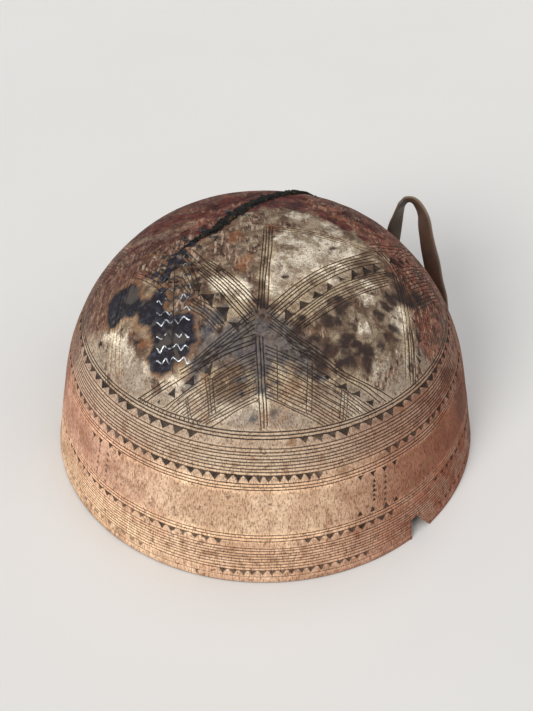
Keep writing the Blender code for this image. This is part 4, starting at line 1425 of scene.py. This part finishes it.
def make_stitch(number, share_along, material):
    """One bright wire stitch, bent by hand, lying half sunk in the pitch."""
    points, _, ahead, across = crack_frames(0.5 * mm)
    index = int(round(share_along * (len(points) - 1)))
    middle, onward, side = points[index], ahead[index], across[index]
    chance = np.random.default_rng(100 + number)
    sway_phase = chance.uniform(-0.5, 0.5)
    places = []
    for step in range(stitch_steps + 1):
        along = -stitch_span / 2 + stitch_span * step / stitch_steps
        turn = math.tau * along / stitch_pitch * (1 + 0.10 * math.sin(number * 2.3)) + sway_phase
        wave = math.asin(0.93 * math.sin(turn + 0.5 * math.sin(along / stitch_span * 9 + number * 1.7))) / 1.2
        wave *= 1 + 0.35 * math.sin(along / stitch_span * 11 + number * 2.9)
        wander = stitch_wander * math.sin(along / stitch_span * 7 + number)
        places.append(middle + side * along + onward * (stitch_wave * wave + wander))
    places = np.array(places)
    surface, out = on_outside(map_of_plan(places[:, :2]))
    bare = float(np.interp(share_along, (0.0, 0.13, 0.20, 0.32, 0.5), (1.1, 1.0, 0.62, 0.32, 0.15)))
    lift = wire_radius * (0.05 + 0.30 * bare + 0.40 * ripple(places, 0.006, 200 + number))
    centre = surface + out * lift[:, None]
    centre = np.vstack([
        centre[0] - out[0] * stitch_leg, centre[0] - out[0] * stitch_leg * 0.4, centre,
        centre[-1] - out[-1] * stitch_leg * 0.4, centre[-1] - out[-1] * stitch_leg,
    ])
    mesh = bent_wire(f"wire_{number:02d}", centre, chance)
    mesh.materials.clear()
    mesh.materials.append(material)
    corners = np.empty(len(mesh.vertices) * 3)
    mesh.vertices.foreach_get("co", corners)
    along = ((corners.reshape(-1, 3) - middle) @ side) / (stitch_span / 2)
    set_attribute(mesh, "bare", bare * (0.50 + 0.65 * np.abs(along) ** 1.5 + 0.15 * along))
    mesh.shade_smooth()
    return linked(f"wire_stitch_{number:02d}", mesh)


def strap_frame():
    """The strap's hinge: its middle and the ways along, out, and up in the leaning loop."""
    outward = np.array([math.cos(strap_azimuth), math.sin(strap_azimuth), 0.0])
    along = np.array([-math.sin(strap_azimuth), math.cos(strap_azimuth), 0.0])
    middle = outward * (radius_at(strap_hole_height) + strap_standoff) + upward * strap_hole_height
    return middle, along, outward, upward * math.cos(strap_lean) + outward * math.sin(strap_lean)


def strap_centre():
    """The strip's middle line from knot to knot, with its turn, its share of the full width, and how
    far each knot lies in from the hinge."""
    middle, along, outward, upright = strap_frame()
    way = smooth_way(strap_way_shares, strap_steps_between_stations)
    loop = middle + along * (way[:, :1] * strap_hole_spacing) + upright * (way[:, 1:2] * strap_rise)
    inner_wall = radius_at(strap_hole_height / to_inside[2]) * to_inside[0]
    wall_in = math.sqrt(inner_wall**2 - (strap_hole_spacing / 2 + knot_radius) ** 2)
    knot_out = wall_in - clearance - knot_cord_radius - knot_radius * knot_depth_share
    reach = float(np.linalg.norm(middle[:2])) - knot_out
    bend = np.array([
        (-reach - knot_tail, -0.2 * mm), (-reach - knot_tail * 0.5, 0.0), (-reach, 0.0), (-reach * 0.75, 0.0),
        (-reach * 0.5, 0.0), (-reach * 0.3, 0.0), (-2.6 * mm, 0.0), (-1.5 * mm, 0.25 * mm),
        (-0.6 * mm, 0.9 * mm), (-0.15 * mm, 2.0 * mm),
    ])
    ends = [
        middle + along * side * strap_hole_spacing + outward * bend[:, :1] + upward * bend[:, 1:]
        for side in (-0.5, 0.5)
    ]
    lifted = way[:, 1] * strap_rise > strap_free_height
    centre = np.vstack([ends[0], loop[lifted], ends[1][::-1]])
    straight = np.zeros(len(bend))
    twist = np.concatenate([straight, way[lifted, 2], straight]) * math.pi / 2
    narrow = np.full(len(bend), strap_neck_share)
    neck = np.concatenate([narrow, np.minimum(1.0, strap_neck_share + way[lifted, 1]), narrow])
    fine = evenly(np.column_stack([centre, twist, neck]), strap_pitch)
    return fine[:, :3], fine[:, 3], fine[:, 4], reach


def make_strap(material):
    """The whole strip of hide: knot, hole, twisted loop, hole and knot."""
    middle, along, outward, upright = strap_frame()
    centre, twist, neck, reach = strap_centre()
    share = np.linspace(0, 1, len(centre))
    ahead = unit(np.gradient(centre, axis=0))
    in_plane = np.cross(np.cross(along, upright), ahead)
    in_hole = abs(ahead @ outward) > 0.35
    in_plane[in_hole] = along * np.where(share < 0.5, -1.0, 1.0)[in_hole, None]
    in_plane = unit(in_plane)
    across = in_plane * np.cos(twist)[:, None] + np.cross(ahead, in_plane) * np.sin(twist)[:, None]
    face = np.cross(ahead, across)

    # The strip's section: cupped, rounded at its edges, its two edges uneven
    sides = np.linspace(-1, 1, strap_side_steps).tolist()
    ring = [*((side, 1.0) for side in sides), *((-side, -1.0) for side in sides)]
    chance = np.random.default_rng(7)
    strip = np.column_stack([share * 40, share * 0])
    edge_wave = [strap_edge_wave * ripple(strip, 2.5, seed) for seed in (70, 71)]
    rings = []
    for side, level in ring:
        rounding = 1 - 0.42 * abs(side) ** 8
        cup = strap_cup * (side * side - 0.4) * np.clip(neck * 2 - 1.2, 0, 1)
        wave = edge_wave[0] if side > 0 else edge_wave[1]
        wide = side * (strap_width / 2 * neck) + wave * side * abs(side)
        rough = strap_rough * chance.normal(size=len(centre)).clip(-1, 1) * 0.4
        high = strap_thickness / 2 * level * rounding + cup + rough
        rings.append(centre + across * wide[:, None] + face * high[:, None])
    parts = [np.stack(rings, 1).reshape(-1, 3)]
    faces = bar_faces(len(centre), len(ring))
    for side in (-0.5, 0.5):
        foot = middle + along * side * strap_hole_spacing - outward * reach
        corners, knot_faces = knot_form(foot, along, outward)
        count = sum(map(len, parts))
        faces += [tuple(i + count for i in knot_face) for knot_face in knot_faces]
        parts.append(corners)
    strap = new_mesh_object("hide_strap", np.vstack(parts), faces, material)
    set_attribute(strap.data, "worn", np.tile(np.abs([side for side, _ in ring]) ** 6, len(centre)))
    set_attribute(strap.data, "far", np.repeat(share, len(ring)))
    set_attribute(strap.data, "bend", np.repeat(np.exp(-((share - 0.505) / 0.055) ** 2), len(ring)))
    return strap


def knot_form(place, along, outward):
    """An overhand knot drawn tight, as a flattened strip wound round itself."""
    count, around = 96, 10
    turn = math.tau * np.arange(count) / count
    scale = knot_radius / 3
    x = (np.sin(turn) + 2 * np.sin(2 * turn)) * scale
    y = (np.cos(turn) - 2 * np.cos(2 * turn)) * scale
    z = -knot_radius * knot_depth_share * np.sin(3 * turn)
    centre = place + along * x[:, None] + upward * y[:, None] + outward * z[:, None]
    ahead = unit(ahead_round(centre))
    out = unit(np.cross(ahead, outward))
    over = np.cross(out, ahead)
    corners = []
    for k in range(around):
        angle = math.tau * k / around
        swell = 1 + 0.12 * ripple(np.column_stack([turn * 3, np.full(count, k)]), 2.0, 90)
        wide, high = knot_cord_radius * 1.25 * math.cos(angle), knot_cord_radius * 0.95 * math.sin(angle)
        corners.append(centre + out * (wide * swell)[:, None] + over * (high * swell)[:, None])
    faces = []
    for i in range(count):
        for k in range(around):
            j, following = (k + 1) % around, (i + 1) % count
            faces.append((i * around + k, following * around + k, following * around + j, i * around + j))
    return np.stack(corners, 1).reshape(-1, 3), faces


def make_floor():
    """A plain pale floor."""
    mesh = bpy.data.meshes.new("floor")
    reach = 8.0
    corners = [(-reach, -reach, 0), (reach, -reach, 0), (reach, reach, 0), (-reach, reach, 0)]
    mesh.from_pydata(corners, [], [(0, 1, 2, 3)])
    floor = linked("floor", mesh)
    s = Shade("pale_floor")
    s.colour = s.mix(s.noise(3.0, 3.0), (0.78, 0.77, 0.75), (0.82, 0.81, 0.79))
    mesh.materials.append(s.finish(0.85, specular=0.2))
    floor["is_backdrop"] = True


def make_light(name, place, softness, power, colour):
    """A wide soft light from far off, so that the floor is lit evenly."""
    data = bpy.data.lights.new(name, "SUN")
    data.angle = math.radians(softness)
    data.energy = power
    data.color = colour
    linked(name, data).rotation_euler = (-Vector(place)).to_track_quat("-Z", "Y").to_euler()


def make_world():
    """Soft grey light from all round, and a paler ground that the camera and reflections see."""
    world = bpy.data.worlds.new("studio")
    bpy.context.scene.world = world
    world.use_nodes = True
    s = Nodes(world.node_tree)
    soft = world.node_tree.nodes["Background"]
    s.join((0.55, 0.55, 0.56), soft.inputs["Color"])
    s.join(0.60, soft.inputs["Strength"])
    pale = s.node("ShaderNodeBackground", {"Color": (0.74, 0.735, 0.725)})[0]
    rays = s.node("ShaderNodeLightPath")
    seen = s.math("MAXIMUM", rays["Is Camera Ray"], rays["Is Glossy Ray"])
    seen = s.math("MAXIMUM", seen, rays["Is Transmission Ray"])
    both = s.node("ShaderNodeMixShader", {0: seen, 1: soft.outputs[0], 2: pale})[0]
    s.join(both, world.node_tree.nodes["World Output"].inputs["Surface"])


def make_camera():
    """The photograph's camera: aimed at the rim's middle, rolled, then turned to its pixel."""
    place = Vector((0, -math.cos(camera_elevation), math.sin(camera_elevation))) * camera_distance
    ahead = -place.normalized()
    right = Vector((1, 0, 0))
    facing = Matrix((right, right.cross(ahead), ahead))
    rolled = Matrix.Rotation(-camera_roll, 3, "Z") @ facing
    offset = Vector((
        (rim_middle_pixel[0] - photo_size[0] / 2) / focal_pixels,
        -(rim_middle_pixel[1] - photo_size[1] / 2) / focal_pixels,
        1.0,
    )).normalized()
    aimed = Vector((0, 0, 1)).rotation_difference(offset).to_matrix() @ rolled
    data = bpy.data.cameras.new("camera")
    data.sensor_fit = "VERTICAL"
    data.sensor_height = sensor
    data.lens = focal_pixels / photo_size[1] * sensor
    data.clip_start = 0.01
    data.clip_end = 100.0
    camera = linked("camera", data)
    turn = Matrix((aimed[0], aimed[1], -aimed[2])).transposed().to_4x4()
    camera.matrix_world = Matrix.Translation(place) @ turn
    bpy.context.scene.camera = camera


def main():
    bpy.context.scene.view_settings.view_transform = "Standard"
    make_camera()
    make_floor()
    make_world()
    make_light("key", (-0.85, -1.20, 0.78), 28.0, 2.35, (1.0, 0.985, 0.96))
    make_light("fill", (0.9, -0.5, 1.1), 40.0, 0.40, (0.97, 0.98, 1.0))
    make_light("top", (0.1, 0.5, 1.5), 40.0, 0.60, (1.0, 1.0, 1.0))

    wood = wood_material()
    bowl = make_bowl()
    bowl.data.materials.append(wood)
    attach(bowl, "bowl")
    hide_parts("bowl")

    pitch = make_pitch(pitch_material())
    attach(pitch, "bowl")
    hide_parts("crack_pitch")

    wire = wire_material()
    for number, share in enumerate(stitch_place_shares, start=1):
        stitch = make_stitch(number, share, wire)
        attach(stitch, "bowl")
        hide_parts(f"stitch_{number:02d}")

    strap = make_strap(hide_material())
    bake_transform(strap)
    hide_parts("strap_loop", "strap_end_left", "strap_end_right")


main()
visual_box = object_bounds()
({name: [list(map(float, corner)) for corner in box]
           for name, box in (("cad", cad_box), ("visual", visual_box))})
